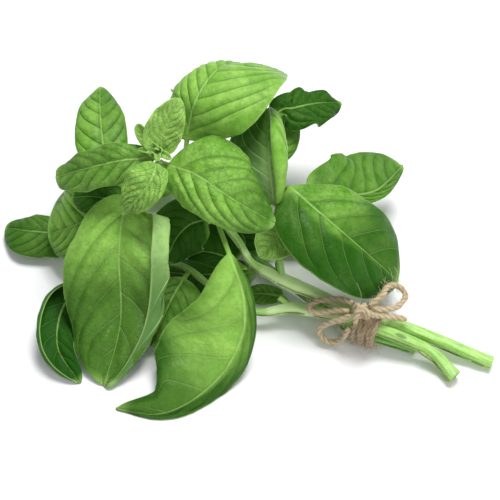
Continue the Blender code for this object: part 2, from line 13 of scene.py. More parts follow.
import bmesh
import bpy
import numpy as np
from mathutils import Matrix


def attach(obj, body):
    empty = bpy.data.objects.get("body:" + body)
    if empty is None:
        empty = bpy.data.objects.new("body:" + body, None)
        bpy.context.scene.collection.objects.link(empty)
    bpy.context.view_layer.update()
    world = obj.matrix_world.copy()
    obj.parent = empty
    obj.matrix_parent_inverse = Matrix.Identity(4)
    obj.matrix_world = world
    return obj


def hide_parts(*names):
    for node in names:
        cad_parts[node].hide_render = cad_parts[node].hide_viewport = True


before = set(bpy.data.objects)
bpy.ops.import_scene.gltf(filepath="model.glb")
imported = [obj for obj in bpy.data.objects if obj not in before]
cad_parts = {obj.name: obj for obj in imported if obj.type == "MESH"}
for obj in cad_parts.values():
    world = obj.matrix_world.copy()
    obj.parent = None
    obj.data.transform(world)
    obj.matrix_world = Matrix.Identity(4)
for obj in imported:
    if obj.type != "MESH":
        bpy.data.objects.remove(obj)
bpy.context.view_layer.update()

LOG = logging.getLogger("basil_bunch")
MM = 0.001
LATTICE = 64
STRETCH_STEPS = 24
TURN = math.radians(22.0)
SHIFT = (0.0011, -0.0006, 0.0)

Point = tuple[float, float, float]
Colour = tuple[float, float, float]


def to_frame(points: np.ndarray) -> np.ndarray:
    """Turns layout points into the shared frame.

    Args:
        points: Layout points in millimetres, one in each row.

    Returns:
        The same points in metres in the shared frame.
    """
    turned = np.array(points, float) * MM
    cos, sin = math.cos(TURN), math.sin(TURN)
    return np.stack([cos * turned[:, 0] - sin * turned[:, 1], sin * turned[:, 0] + cos * turned[:, 1],
                     turned[:, 2]], axis=1) + np.array(SHIFT)


def unit(vector: np.ndarray) -> np.ndarray:
    """Scales vectors to length one."""
    return vector / np.maximum(np.linalg.norm(vector, axis=-1, keepdims=True), 1e-9)


def ease(low: float, high: float, value: np.ndarray) -> np.ndarray:
    """Rises smoothly from 0 at low to 1 at high."""
    share = np.clip((value - low) / (high - low), 0, 1)
    return share * share * (3 - 2 * share)


def ripple(x: np.ndarray, y: np.ndarray, seed: int) -> np.ndarray:
    """Smooth noise over a plane, the same in every run.

    Args:
        x: First coordinate, in cells.
        y: Second coordinate, in cells.
        seed: Which pattern.

    Returns:
        Values from -1 to 1.
    """
    lattice = np.random.default_rng(seed).uniform(-1, 1, (LATTICE, LATTICE))
    left, low = np.floor(x).astype(int), np.floor(y).astype(int)
    right, up = x - left, y - low
    right, up = right * right * (3 - 2 * right), up * up * (3 - 2 * up)
    corners = [lattice[(left + i) % LATTICE, (low + j) % LATTICE] for i in (0, 1) for j in (0, 1)]
    return ((corners[0] * (1 - up) + corners[1] * up) * (1 - right)
            + (corners[2] * (1 - up) + corners[3] * up) * right)


def smooth_route(points: Sequence[Point], count: int) -> np.ndarray:
    """Finds evenly spaced places along the smooth curve through the points.

    Args:
        points: The places that the curve passes.
        count: How many places to return.

    Returns:
        The places, one in each row.
    """
    points = np.asarray(points, float)
    ends = np.vstack([2 * points[0] - points[1], points, 2 * points[-1] - points[-2]])
    a, b, c, d = ends[:-3, None], ends[1:-2, None], ends[2:-1, None], ends[3:, None]
    t = np.linspace(0, 1, STRETCH_STEPS, endpoint=False)[None, :, None]
    curve = 0.5 * (2 * b + (c - a) * t + (2 * a - 5 * b + 4 * c - d) * t**2 + (3 * b - a - 3 * c + d) * t**3)
    curve = np.vstack([curve.reshape(-1, 3), points[-1:]])
    travelled = np.concatenate([[0], np.cumsum(np.linalg.norm(np.diff(curve, axis=0), axis=1))])
    wanted = np.linspace(0, travelled[-1], count)
    return np.stack([np.interp(wanted, travelled, curve[:, axis]) for axis in range(3)], axis=1)


def route_length(line: np.ndarray) -> float:
    """Adds up the steps along a line."""
    return float(np.linalg.norm(np.diff(line, axis=0), axis=1).sum())



# Shader graphs


def maths(operation: str, swapped: bool = False) -> Callable:
    """Makes a method that adds a Math node.

    Args:
        operation: What the node does with its terms.
        swapped: Whether the value itself is the second term.

    Returns:
        The method, which takes a value and any other terms.
    """
    def method(value: "Value", *others: "Value | float") -> "Value":
        """Adds the Math node on the value and the other terms."""
        terms = (*others, value) if swapped else (value, *others)
        return value.graph.add("ShaderNodeMath", {"operation": operation}, dict(enumerate(terms)))

    return method


class Value:
    """A shader socket that takes part in Python's own sums."""

    __add__ = maths("ADD")
    __radd__ = maths("ADD", swapped=True)
    __sub__ = maths("SUBTRACT")
    __rsub__ = maths("SUBTRACT", swapped=True)
    __mul__ = maths("MULTIPLY")
    __rmul__ = maths("MULTIPLY", swapped=True)
    __truediv__ = maths("DIVIDE")
    __abs__ = maths("ABSOLUTE")
    fraction = maths("FRACT")
    larger = maths("MAXIMUM")

    def __init__(self, graph: "Graph", socket: bpy.types.NodeSocket) -> None:
        """Keeps the graph and the socket."""
        self.graph = graph
        self.socket = socket

    def ramp(self, low: float, high: float) -> "Value":
        """Rises smoothly from 0 at low to 1 at high, and falls where low is over high."""
        return self.graph.add("ShaderNodeMapRange", {"interpolation_type": "SMOOTHSTEP"},
                              {0: self, 1: low, 2: high, 3: 0.0, 4: 1.0})


class Graph:
    """A material's nodes."""

    def __init__(self, name: str) -> None:
        """Makes the material of that name and finds its shader."""
        self.material = bpy.data.materials.new(name)
        self.material.use_nodes = True
        self.nodes = self.material.node_tree.nodes
        self.links = self.material.node_tree.links
        self.shader = self.nodes["Principled BSDF"]

    def feed(self, socket: bpy.types.NodeSocket, value: object) -> None:
        """Links a value to a socket, or sets it there."""
        if isinstance(value, Value):
            self.links.new(value.socket, socket)
        elif isinstance(value, tuple) and len(value) == 3 and socket.type == "RGBA":
            socket.default_value = (*value, 1.0)
        else:
            socket.default_value = value

    def add(self, kind: str, settings: dict, inputs: dict, output: int | str = 0) -> Value:
        """Adds a node.

        Args:
            kind: The node's type.
            settings: Its settings, set first.
            inputs: Values or links by socket name or number.
            output: The socket to return.

        Returns:
            The wanted output.
        """
        node = self.nodes.new(kind)
        for name, setting in settings.items():
            setattr(node, name, setting)
        for name, value in inputs.items():
            self.feed(node.inputs[name], value)
        return Value(self, node.outputs[output])

    def mix(self, share: Value | float, first: Value | Colour, second: Value | Colour) -> Value:
        """Blends two colours."""
        return self.add("ShaderNodeMix", {"data_type": "RGBA"}, {0: share, 6: first, 7: second}, 2)

    def layered(self, base: Colour, *layers: tuple[Value, Colour]) -> Value:
        """Lays colours over a base one after another, each by its share."""
        for share, colour in layers:
            base = self.mix(share, base, colour)
        return base

    def parts(self, vector: Value) -> tuple[Value, Value, Value]:
        """Splits a vector."""
        first = self.add("ShaderNodeSeparateXYZ", {}, {0: vector})
        return tuple(Value(self, socket) for socket in first.socket.node.outputs)

    def attribute(self, name: str) -> tuple[Value, Value, Value]:
        """Reads a vector attribute of the piece."""
        return self.parts(self.add("ShaderNodeAttribute", {"attribute_name": name}, {}, "Vector"))

    def coordinates(self, kind: str) -> Value:
        """Reads the piece's own coordinates: its UV map, or Object ones."""
        return self.add("ShaderNodeTexCoord", {}, {}, kind)

    def scaled(self, vector: Value, scale: Point) -> Value:
        """Stretches coordinates."""
        return self.add("ShaderNodeMapping", {}, {"Vector": vector, "Scale": scale})

    def noise(self, vector: Value, scale: float, detail: float = 3.0, roughness: float = 0.6) -> Value:
        """Adds a cloud pattern from 0 to 1."""
        return self.add("ShaderNodeTexNoise", {}, {"Vector": vector, "Scale": scale, "Detail": detail,
                                                   "Roughness": roughness}, "Fac")

    def cells(self, vector: Value, scale: float) -> Value:
        """Adds the distance to the edges of a network of cells."""
        return self.add("ShaderNodeTexVoronoi", {"feature": "DISTANCE_TO_EDGE"},
                        {"Vector": vector, "Scale": scale}, "Distance")

    def bump(self, height: Value, strength: float, distance: float) -> Value:
        """Turns a height into a normal. A height of 1 stands for the distance, in metres."""
        return self.add("ShaderNodeBump", {}, {"Height": height, "Strength": strength,
                                               "Distance": distance}, "Normal")

    def finish(self, **inputs: object) -> bpy.types.Material:
        """Feeds the shader, by its sockets' names with _ for spaces, and returns the material."""
        for name, value in inputs.items():
            self.feed(self.shader.inputs[name.replace("_", " ")], value)
        return self.material


# Finishes


@dataclass(frozen=True)
class LeafFinish:
    """One face of the leaves: its greens, its veins and its gloss, with painted shade in the sunken veins,
    grooves and folds and painted highlights on the swells between the veins.
    """

    name: str
    deep: Colour
    body: Colour
    crest: Colour
    vein: Colour
    petiole: Colour = (0.24, 0.46, 0.075)
    roughness: float = 0.33
    specular: float = 0.1
    vein_share: float = 0.14
    relief: float = 1.0
    relief_depth: float = 0.0006

    def make(self) -> bpy.types.Material:
        """Builds the material.

        Returns:
            The material, which reads the leaf's place, its tone with painted light, its shade, and its UV map
            in tenths of a metre.
        """
        graph = Graph(self.name)
        phase, reach, along = graph.attribute("leaf_place")
        light, young, crinkle = graph.attribute("leaf_tone_and_painted_light")
        shade, _, _ = graph.attribute("leaf_shade")
        surface = graph.coordinates("UV")
        across, _, _ = graph.parts(surface)
        sideways = abs((across - 0.5) * 100.0)

        step = phase.fraction()
        nearness = 0.5 - abs(step - 0.5)
        inside = phase.ramp(0.25, 0.6) * reach.ramp(1.0, 0.75) * along.ramp(0.97, 0.8)
        lateral = nearness.ramp(0.045, 0.01) * inside
        valley = nearness.ramp(0.14, 0.01) * inside
        pillow_highlight = nearness.ramp(0.12, 0.5) * inside * reach.ramp(0.05, 0.3)
        midrib = (sideways / (0.95 - 0.6 * along)).ramp(0.8, 0.3)
        groove = (sideways / (2.8 - 1.6 * along)).ramp(1.0, 0.2)
        network = graph.cells(surface, 42.0).ramp(0.08, 0.0)
        folds = graph.noise(surface, 26.0, 4.0)
        clouds = graph.noise(surface, 9.0, 4.0)
        mottle = graph.noise(surface, 40.0)
        grain = graph.noise(surface, 150.0)
        dark = (0.0 - light).larger(0.0)

        green = graph.layered(
            self.body,
            (clouds.ramp(0.3, 0.7) * 0.75, self.crest),
            # painted highlight on the swells between the veins
            (pillow_highlight * 0.3, self.crest),
            (mottle.ramp(0.35, 0.75) * 0.3, self.deep),
            # painted shade in the sunken lateral veins
            (valley * 0.34, self.deep),
            # painted light and shade: each panel between two veins lighter on one side and darker on the
            # other, as if lit from one side
            (step.ramp(0.5, 0.95) * inside * 0.35, self.crest),
            (step.ramp(0.5, 0.05) * inside * 0.32, self.deep),
            # painted shade in the midrib's groove
            (groove * 0.3, self.deep),
            # painted shade in the fine network of sunken lines
            (network * (0.1 + 0.6 * crinkle), self.deep),
            # painted shade in the troughs of the folds
            (folds.ramp(0.55, 0.35) * (0.1 + crinkle), self.deep),
            # each leaf's own tone, mixed with painted light on leaves that stand lit and painted shade on
            # leaves that lie in shadow
            (light.larger(0.0) * 0.8, self.crest),
            (dark, self.deep),
            (shade, self.deep),
            (young * 0.55, self.vein),
            (reach.ramp(0.965, 1.0) * 0.5, self.vein),
            (along.ramp(0.92, 1.0) * 0.4, self.vein),
            (lateral * self.vein_share, self.vein),
            (midrib * (0.55 - 0.35 * along), self.vein),
            (along.ramp(0.07, -0.02), self.petiole))
        height = (0.0 - midrib * 0.4 - lateral * 0.55 - valley * 0.3 - network * (0.06 + crinkle)
                  + grain * 0.05 + mottle * (0.1 + crinkle) + folds * (0.5 + 4.0 * crinkle))
        return graph.finish(
            Base_Color=green, Roughness=self.roughness + 0.12 * (grain - 0.5) + 0.1 * valley + 0.25 * dark,
            Specular_IOR_Level=self.specular, Subsurface_Weight=0.1, Subsurface_Radius=(0.4, 1.0, 0.15),
            Subsurface_Scale=0.001, Normal=graph.bump(height, 0.7 * self.relief, self.relief_depth))


@dataclass(frozen=True)
class StemFinish:
    """The stems' skin: pale green with darker streaks along it, paler at the joints, with painted light along
    a lit stretch and painted shade over stems that lie in shadow.
    """

    name: str = "basil_stem"
    pallor_and_painted_light: Colour = (0.68, 0.88, 0.42)
    pale: Colour = (0.52, 0.78, 0.26)
    body: Colour = (0.27, 0.56, 0.09)
    deep: Colour = (0.055, 0.20, 0.012)
    scar: Colour = (0.13, 0.24, 0.05)
    relief_depth: float = 0.0004

    def make(self) -> bpy.types.Material:
        """Builds the material, which reads the stem's marks with its painted light and shade, and its UV map.
        """
        graph = Graph(self.name)
        shade, joint_pallor_and_painted_light, scar = graph.attribute("stem_marks_and_painted_light")
        surface = graph.coordinates("UV")
        streaks = graph.noise(graph.scaled(surface, (9.0, 1.6, 1.0)), 2.2, 3.0, 0.55)
        fine = graph.noise(graph.scaled(surface, (40.0, 6.0, 1.0)), 3.0)
        clouds = graph.noise(graph.scaled(surface, (1.5, 14.0, 1.0)), 1.6, 3.0, 0.5)
        green = graph.layered(
            self.body,
            (streaks.ramp(0.35, 0.7), self.pale),
            (clouds.ramp(0.4, 0.75) * 0.6, self.body),
            (streaks.ramp(0.5, 0.25) * 0.22, self.deep),
            (fine.ramp(0.5, 0.75) * 0.35, self.pale),
            # paler joints, and painted light along a lit stretch
            (joint_pallor_and_painted_light * 0.8, self.pallor_and_painted_light),
            # painted shade over stems that lie in shadow
            (shade, self.deep),
            (scar, self.scar))
        height = streaks * 0.5 + fine * 0.35 - scar * 0.6
        return graph.finish(
            Base_Color=green, Roughness=0.3 + 0.2 * fine, Subsurface_Weight=0.18,
            Subsurface_Radius=(0.6, 1.0, 0.25), Subsurface_Scale=0.0015,
            Normal=graph.bump(height, 0.5, self.relief_depth))


@dataclass(frozen=True)
class CutFinish:
    """The stems' cut ends: fibrous, paler pith with darker specks, and a darker ring as dark as the stem's
    painted shade at the rim.
    """

    name: str = "basil_stem_cut"
    pith: Colour = (0.34, 0.45, 0.14)
    ring: Colour = (0.09, 0.17, 0.03)
    relief_depth: float = 0.0003

    def make(self) -> bpy.types.Material:
        """Builds the material, which reads the stem's marks with its painted shade, and Object coordinates.
        """
        graph = Graph(self.name)
        shade, _, _ = graph.attribute("stem_marks_and_painted_light")
        spots = graph.noise(graph.coordinates("Object"), 1500.0)
        green = graph.layered(
            self.pith,
            # painted shade: the ring darkens as far as the stem's painted shade at the rim
            (shade.ramp(0.15, 0.9), self.ring),
            (spots.ramp(0.4, 0.7) * 0.5, self.ring))
        return graph.finish(Base_Color=green, Roughness=0.7,
                            Normal=graph.bump(spots, 0.6, self.relief_depth))


@dataclass(frozen=True)
class TwineFinish:
    """Jute: pale and darker brown fibres that run round with the twist, with painted shade in the grooves
    between the plies.
    """

    name: str
    pale: Colour = (0.86, 0.72, 0.46)
    body: Colour = (0.63, 0.49, 0.29)
    deep: Colour = (0.25, 0.17, 0.08)
    relief_depth: float = 0.0005

    def make(self) -> bpy.types.Material:
        """Builds the material, which reads the strand's UV map, round it and along it."""
        graph = Graph(self.name)
        ply_groove_shade, _, _ = graph.attribute("twine_groove_shade")
        surface = graph.coordinates("UV")
        fibres = graph.noise(graph.scaled(surface, (26.0, 9.0, 1.0)), 2.0, 5.0, 0.7)
        patches = graph.noise(graph.scaled(surface, (2.0, 22.0, 1.0)), 2.0, 2.0, 0.5)
        brown = graph.layered(
            self.body,
            (fibres.ramp(0.3, 0.68), self.pale),
            (patches.ramp(0.4, 0.8) * 0.4, self.body),
            # painted shade in the grooves between the plies
            (ply_groove_shade * 0.8, self.deep))
        return graph.finish(
            Base_Color=brown, Roughness=0.92, Specular_IOR_Level=0.15, Sheen_Weight=0.25,
            Normal=graph.bump(fibres - ply_groove_shade * 0.5, 0.9, self.relief_depth))


@dataclass(frozen=True)
class FloorFinish:
    """The plain pale surface that the bunch lies on."""

    name: str = "plain_floor"
    white: Colour = (0.93, 0.93, 0.94)

    def make(self) -> bpy.types.Material:
        """Builds the material."""
        return Graph(self.name).finish(Base_Color=self.white, Roughness=0.95, Specular_IOR_Level=0.1)


# Meshes


class Slot(Enum):
    """Names of the material slots."""

    LEAF = "leaf"
    YOUNG = "young_leaf"
    STEM = "stem"
    TWINE = "twine"


def settle(piece: bpy.types.Object, slot: Slot, *nodes: str) -> None:
    """Rides a finished piece on the bunch, hides the CAD nodes that it replaces and logs its faces.

    Args:
        piece: The piece.
        slot: Not used.
        nodes: The CAD nodes that it replaces.
    """
    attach(piece, "root")
    if nodes:
        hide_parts(*nodes)
    LOG.info("%s: %d faces", piece.name, len(piece.data.polygons))


def link(name: str, data: bpy.types.ID) -> bpy.types.Object:
    """Puts an object with this data into the scene."""
    made = bpy.data.objects.new(name, data)
    bpy.context.scene.collection.objects.link(made)
    return made


def add_object(name: str, mesh: bpy.types.Mesh) -> bpy.types.Object:
    """Puts a mesh into the scene as a smooth object."""
    for polygon in mesh.polygons:
        polygon.use_smooth = True
    return link(name, mesh)


def add_vectors(mesh: bpy.types.Mesh, name: str, *parts: np.ndarray | float) -> None:
    """Stores a vector attribute from its three parts, each one number or one for each point."""
    count = len(mesh.vertices)
    vectors = np.stack([np.broadcast_to(part, count) for part in parts], axis=1)
    layer = mesh.attributes.new(name, "FLOAT_VECTOR", "POINT")
    layer.data.foreach_set("vector", vectors.astype(np.float32).ravel())


def add_uv(mesh: bpy.types.Mesh, places: np.ndarray) -> None:
    """Stores a UV map from one place for each point."""
    corners = np.empty(len(mesh.loops), np.int32)
    mesh.loops.foreach_get("vertex_index", corners)
    mesh.uv_layers.new(name="surface").data.foreach_set("uv", places[corners].astype(np.float32).ravel())


def bake(obj: bpy.types.Object, name: str) -> bpy.types.Object:
    """Replaces an object by its evaluated mesh."""
    graph = bpy.context.evaluated_depsgraph_get()
    mesh = bpy.data.meshes.new_from_object(obj.evaluated_get(graph))
    bpy.data.objects.remove(obj, do_unlink=True)
    return add_object(name, mesh)


def join(name: str, parts: list[bpy.types.Object]) -> bpy.types.Object:
    """Joins objects into the first of them, under a new name."""
    if len(parts) > 1:
        with bpy.context.temp_override(active_object=parts[0], object=parts[0], selected_objects=parts,
                                       selected_editable_objects=parts):
            bpy.ops.object.join()
    parts[0].name = name
    parts[0].data.name = name
    return parts[0]


def grid(columns: int, rows: int) -> tuple[bmesh.types.BMesh, np.ndarray, np.ndarray]:
    """Starts a sheet or an unrolled tube.

    Args:
        columns: How many faces it has across.
        rows: How many faces it has along.

    Returns:
        The grid, and for each point its place across from -1 to 1 and along in rows.
    """
    made = bmesh.new()
    bmesh.ops.create_grid(made, x_segments=columns, y_segments=rows, size=1.0)
    across = np.array([vert.co.x for vert in made.verts])
    along = (np.array([vert.co.y for vert in made.verts]) + 1) / 2 * rows
    return made, across, along


def put(made: bmesh.types.BMesh, name: str, points: np.ndarray) -> bpy.types.Mesh:
    """Moves a grid's points to their places and turns it into a mesh."""
    for vert, point in zip(made.verts, points):
        vert.co = point
    mesh = bpy.data.meshes.new(name)
    made.to_mesh(mesh)
    made.free()
    return mesh


def ring_points(line: np.ndarray, level: np.ndarray, upright: np.ndarray, reach: np.ndarray,
                angle: np.ndarray) -> np.ndarray:
    """Places points round a line.

    Args:
        line: The line's place for each point.
        level: The way that angle 0 points.
        upright: The way that a quarter turn points.
        reach: How far each point is from the line.
        angle: Its angle round the line.

    Returns:
        The points.
    """
    points = line + level * (reach * np.cos(angle))[:, None]
    points += upright * (reach * np.sin(angle))[:, None]
    return points


@dataclass
class Sheets:
    """The shape that all leaves share: a curved sheet with a stalk, given its thickness both ways.

    Sizes are in millimetres. Each pucker is a pattern's cell width and length, its start and its number.
    """

    upper: bpy.types.Material
    under: bpy.types.Material
    petiole_thickness: float = 2.0
    petiole_half_width: float = 1.0
    tip_half_width: float = 0.5
    blade: float = 0.5
    margin_loss: float = 0.15
    rib: float = 1.1
    rib_loss: float = 0.7
    rib_half_width: float = 0.9
    groove_depth: float = 0.45
    groove_half_width: float = 1.6
    puckers: tuple = ((2.6, 2.6, 40, 1), (5.2, 4.4, 30, 3))
    swell_cell: tuple[float, float] = (11, 15)
    flat_below: float = 3.0
    floor_gap: float = 0.3
    fold_ease: float = 0.07
    beak_stretch: tuple[float, float] = (0.72, 0.85)
    pointedness: float = 1.35
    nibble: float = 0.012
    nibbles: float = 16
    vein_crowding: float = 1.12
    vein_wander: float = 0.14
    vein_stagger: float = 0.4
    section_steps: int = 24
    samples: int = 240

    def profile(self, along: np.ndarray, widest: np.ndarray, fullness: np.ndarray) -> np.ndarray:
        """The ovate outline: 1 at the widest place, 0 at both ends."""
        along = np.clip(along, 0, 1)
        rising = self.pointedness * widest * fullness
        falling = self.pointedness * (1 - widest) * fullness
        return along**rising * (1 - along) ** falling / (widest**rising * (1 - widest) ** falling)

    def section(self, leaf: "Leaf", reach: np.ndarray, is_left: np.ndarray) -> tuple[np.ndarray, np.ndarray]:
        """Follows a half blade's curve from the midrib.

        Args:
            leaf: The leaf.
            reach: How far to go, from 0 at the midrib to 1 at the margin.
            is_left: Whether it is the left half.

        Returns:
            How far out and how far up that comes, as shares of the half's width.
        """
        rise, bend, power = (np.where(is_left, left, right) for left, right in zip(leaf.left, leaf.right))
        fold, turn = leaf.flap[0], np.where(is_left, leaf.flap[1], 0)
        out, up = np.zeros_like(reach), np.zeros_like(reach)
        for step in range(self.section_steps):
            part = reach * (step + 0.5) / self.section_steps
            folded = ease(fold - self.fold_ease, fold + self.fold_ease, part)
            angle = np.radians(rise + bend * part**power + turn * folded)
            out += reach / self.section_steps * np.cos(angle)
            up += reach / self.section_steps * np.sin(angle)
        return out, up

    def place(self, leaf: "Leaf", across: np.ndarray, along: np.ndarray) -> tuple[np.ndarray, np.ndarray]:
        """Finds where a leaf's sheet lies.

        Args:
            leaf: The leaf.
            across: From -1 at the left margin to 1 at the right one.
            along: From -1 at the stalk's foot over 0 at the blade's base to 1 at its tip.

        Returns:
            The points in layout millimetres, and how far each is from the midrib, with its sign.
        """
        line = smooth_route(leaf.route(), self.samples)
        travelled = np.linspace(0, 1, self.samples)
        start = travelled[np.argmin(np.linalg.norm(line - np.array(leaf.midrib[0]), axis=1))]
        where = np.where(along < 0, (1 + along) * start, start + along * (1 - start))
        tangents = unit(np.gradient(line, axis=0))
        spine, tangent = (
            np.stack([np.interp(where, travelled, track[:, axis]) for axis in range(3)], axis=-1)
            for track in (line, tangents))
        tangent = unit(tangent)
        blend = where[:, None]
        face = unit((1 - blend) * np.array(leaf.faces[0], float) + blend * np.array(leaf.faces[1], float))
        side = unit(np.cross(tangent, face))
        normal = np.cross(side, tangent)

        is_left = across < 0
        reach = np.abs(across)
        out, up = self.section(leaf, reach, is_left)
        widest, fullness = (np.where(is_left, left, right) for left, right in zip(*leaf.outlines))
        nibble = ripple(along * self.nibbles + 3 * np.sign(across), 0 * along + 2.5, leaf.seed)
        nibble = 1 + self.nibble * nibble
        outline = np.where(along > 0, self.profile(along, widest, fullness), 0)
        full = np.where(is_left, *leaf.half_widths) * outline * nibble
        full *= 1 - np.where(is_left, *leaf.beaks) * ease(*self.beak_stretch, along)
        narrowing = (self.tip_half_width - self.petiole_half_width) * np.clip(along, 0, 1)
        width = np.maximum(full, self.petiole_half_width + narrowing)
        blade = np.clip(full / self.flat_below, 0, 1)
        waves, height = leaf.ruffle
        lift = height * reach**2 * np.sin(2 * math.pi * waves * along + np.sign(across))
        sideways = np.sign(across) * width * (blade * out + (1 - blade) * reach)
        points = spine + side * sideways[:, None] + normal * (blade * (width * up + lift))[:, None]
        return points, across * width

    def vein_phase(self, leaf: "Leaf", across: np.ndarray, along: np.ndarray) -> np.ndarray:
        """Counts the lateral veins up to a place: a whole number lies on a vein."""
        reach = np.abs(across)
        lean = leaf.lean * reach * (0.75 + 0.55 * reach**2)
        wander = self.vein_wander * ripple(along * 4 + 7 * (across > 0), reach * 2 + 11, leaf.seed) * reach
        veins = (np.clip(along, 0, 1) - lean + 0.03) * leaf.vein_pairs * self.vein_crowding
        return np.maximum(veins, -0.4) + wander + np.where(across > 0, self.vein_stagger, 0.0)

    def relief(self, leaf: "Leaf", across: np.ndarray, along: np.ndarray,
               sideways: np.ndarray) -> np.ndarray:
        """How far the blade swells between its veins and sinks along them, in millimetres."""
        reach = np.abs(across)
        phase = self.vein_phase(leaf, across, along)
        between = np.sin(math.pi * (phase - np.floor(phase)))
        envelope = ease(0.0, 0.3, reach) * (1 - 0.85 * ease(0.55, 1.0, reach)) * ease(0.0, 0.15, along)
        envelope *= ease(0.1, 0.7, phase) * (1 - ease(0.7, 0.97, along))
        quilt = leaf.quilt * (between**1.3 - 0.45) * envelope
        passed = along * leaf.length()
        puckers = sum(leaf.crinkle * ripple(sideways / width + start, passed / length, leaf.seed + number)
                      for width, length, start, number in self.puckers)
        width, length = self.swell_cell
        swell = leaf.swell * ripple(sideways / width + 20, passed / length, leaf.seed + 2)
        groove = -self.groove_depth * np.exp(-(sideways / self.groove_half_width) ** 2)
        groove = groove * (1 - 0.6 * np.clip(along, 0, 1)) * ease(0, 0.1, along)
        return quilt + (puckers + swell) * ease(0.0, 0.15, along) * ease(0.0, 0.25, reach) + groove

    def thickness(self, across: np.ndarray, along: np.ndarray, sideways: np.ndarray) -> np.ndarray:
        """Thickness as a share of the stalk's: round there, then the midrib, the blade and a thin margin."""
        reach = np.abs(across)
        stalk = np.sqrt(np.clip(1 - 0.9 * reach**2, 0, 1))
        ridge = self.rib - self.rib_loss * np.clip(along, 0, 1)
        ridge = ridge * np.exp(-(sideways / self.rib_half_width) ** 2)
        blade = self.blade - self.margin_loss * ease(0.9, 1, reach)
        share = ease(-0.02, 0.1, along)
        return (1 - share) * stalk + share * np.maximum(ridge, blade) / self.petiole_thickness

    def sheet(self, name: str, leaf: "Leaf") -> bpy.types.Object:
        """Builds a leaf without its thickness, which it keeps as a vertex group."""
        rows, columns, stalk_rows = leaf.grid()
        made, across, row = grid(columns, rows + stalk_rows)
        row -= stalk_rows
        share = np.clip(row / rows, 0, 1)
        blade = 0.5 * share + 0.25 * (1 - np.cos(math.pi * share))
        along = np.where(row < 0, row / max(stalk_rows, 1), blade)
        across = np.sign(across) * np.abs(across) ** 1.1
        points, sideways = self.place(leaf, across, along)
        mesh = put(made, name, points)
        normals = np.empty(len(points) * 3, np.float32)
        mesh.vertices.foreach_get("normal", normals)
        points += normals.reshape(-1, 3) * self.relief(leaf, across, along, sideways)[:, None]
        points[:, 2] = np.maximum(points[:, 2], self.floor_gap)
        mesh.vertices.foreach_set("co", to_frame(points).astype(np.float32).ravel())
        reach = np.abs(across)
        shade = leaf.tip_shade * ease(leaf.tip_from, leaf.tip_from + 0.35, along)
        shade += leaf.edge_shade * ease(0.45, 1.0, reach)
        shade = np.clip(shade + np.where(across < 0, *leaf.half_shades) * ease(0.02, 0.3, reach), 0, 0.9)
        add_vectors(mesh, "leaf_place", self.vein_phase(leaf, across, along), reach, along)
        add_vectors(mesh, "leaf_tone_and_painted_light", leaf.light, leaf.young, leaf.crinkle)
        add_vectors(mesh, "leaf_shade", shade, shade, shade)
        passed = (1 + along * leaf.length() / 100) % 8 + leaf.seed % 5
        add_uv(mesh, np.stack([0.5 + sideways / 100, passed], axis=1))
        mesh.materials.append(self.upper)
        mesh.materials.append(self.under)
        sheet = add_object(name + "_sheet", mesh)
        group = sheet.vertex_groups.new(name="thickness")
        for index, weight in enumerate(self.thickness(across, along, sideways)):
            group.add([index], float(weight), "REPLACE")
        return sheet

    def make(self, name: str, leaf: "Leaf") -> bpy.types.Object:
        """Builds a leaf as a closed mesh in the shared frame.

        Args:
            name: The object's name.
            leaf: The leaf.

        Returns:
            The object, with its vein attributes and UV map.
        """
        sheet = self.sheet(name, leaf)
        wall = sheet.modifiers.new("wall", "SOLIDIFY")
        wall.thickness = self.petiole_thickness * MM
        wall.offset = 0
        wall.vertex_group = "thickness"
        wall.material_offset = 1
        wall.material_offset_rim = 0
        finished = bake(sheet, name)
        finished.vertex_groups.clear()
        return finished


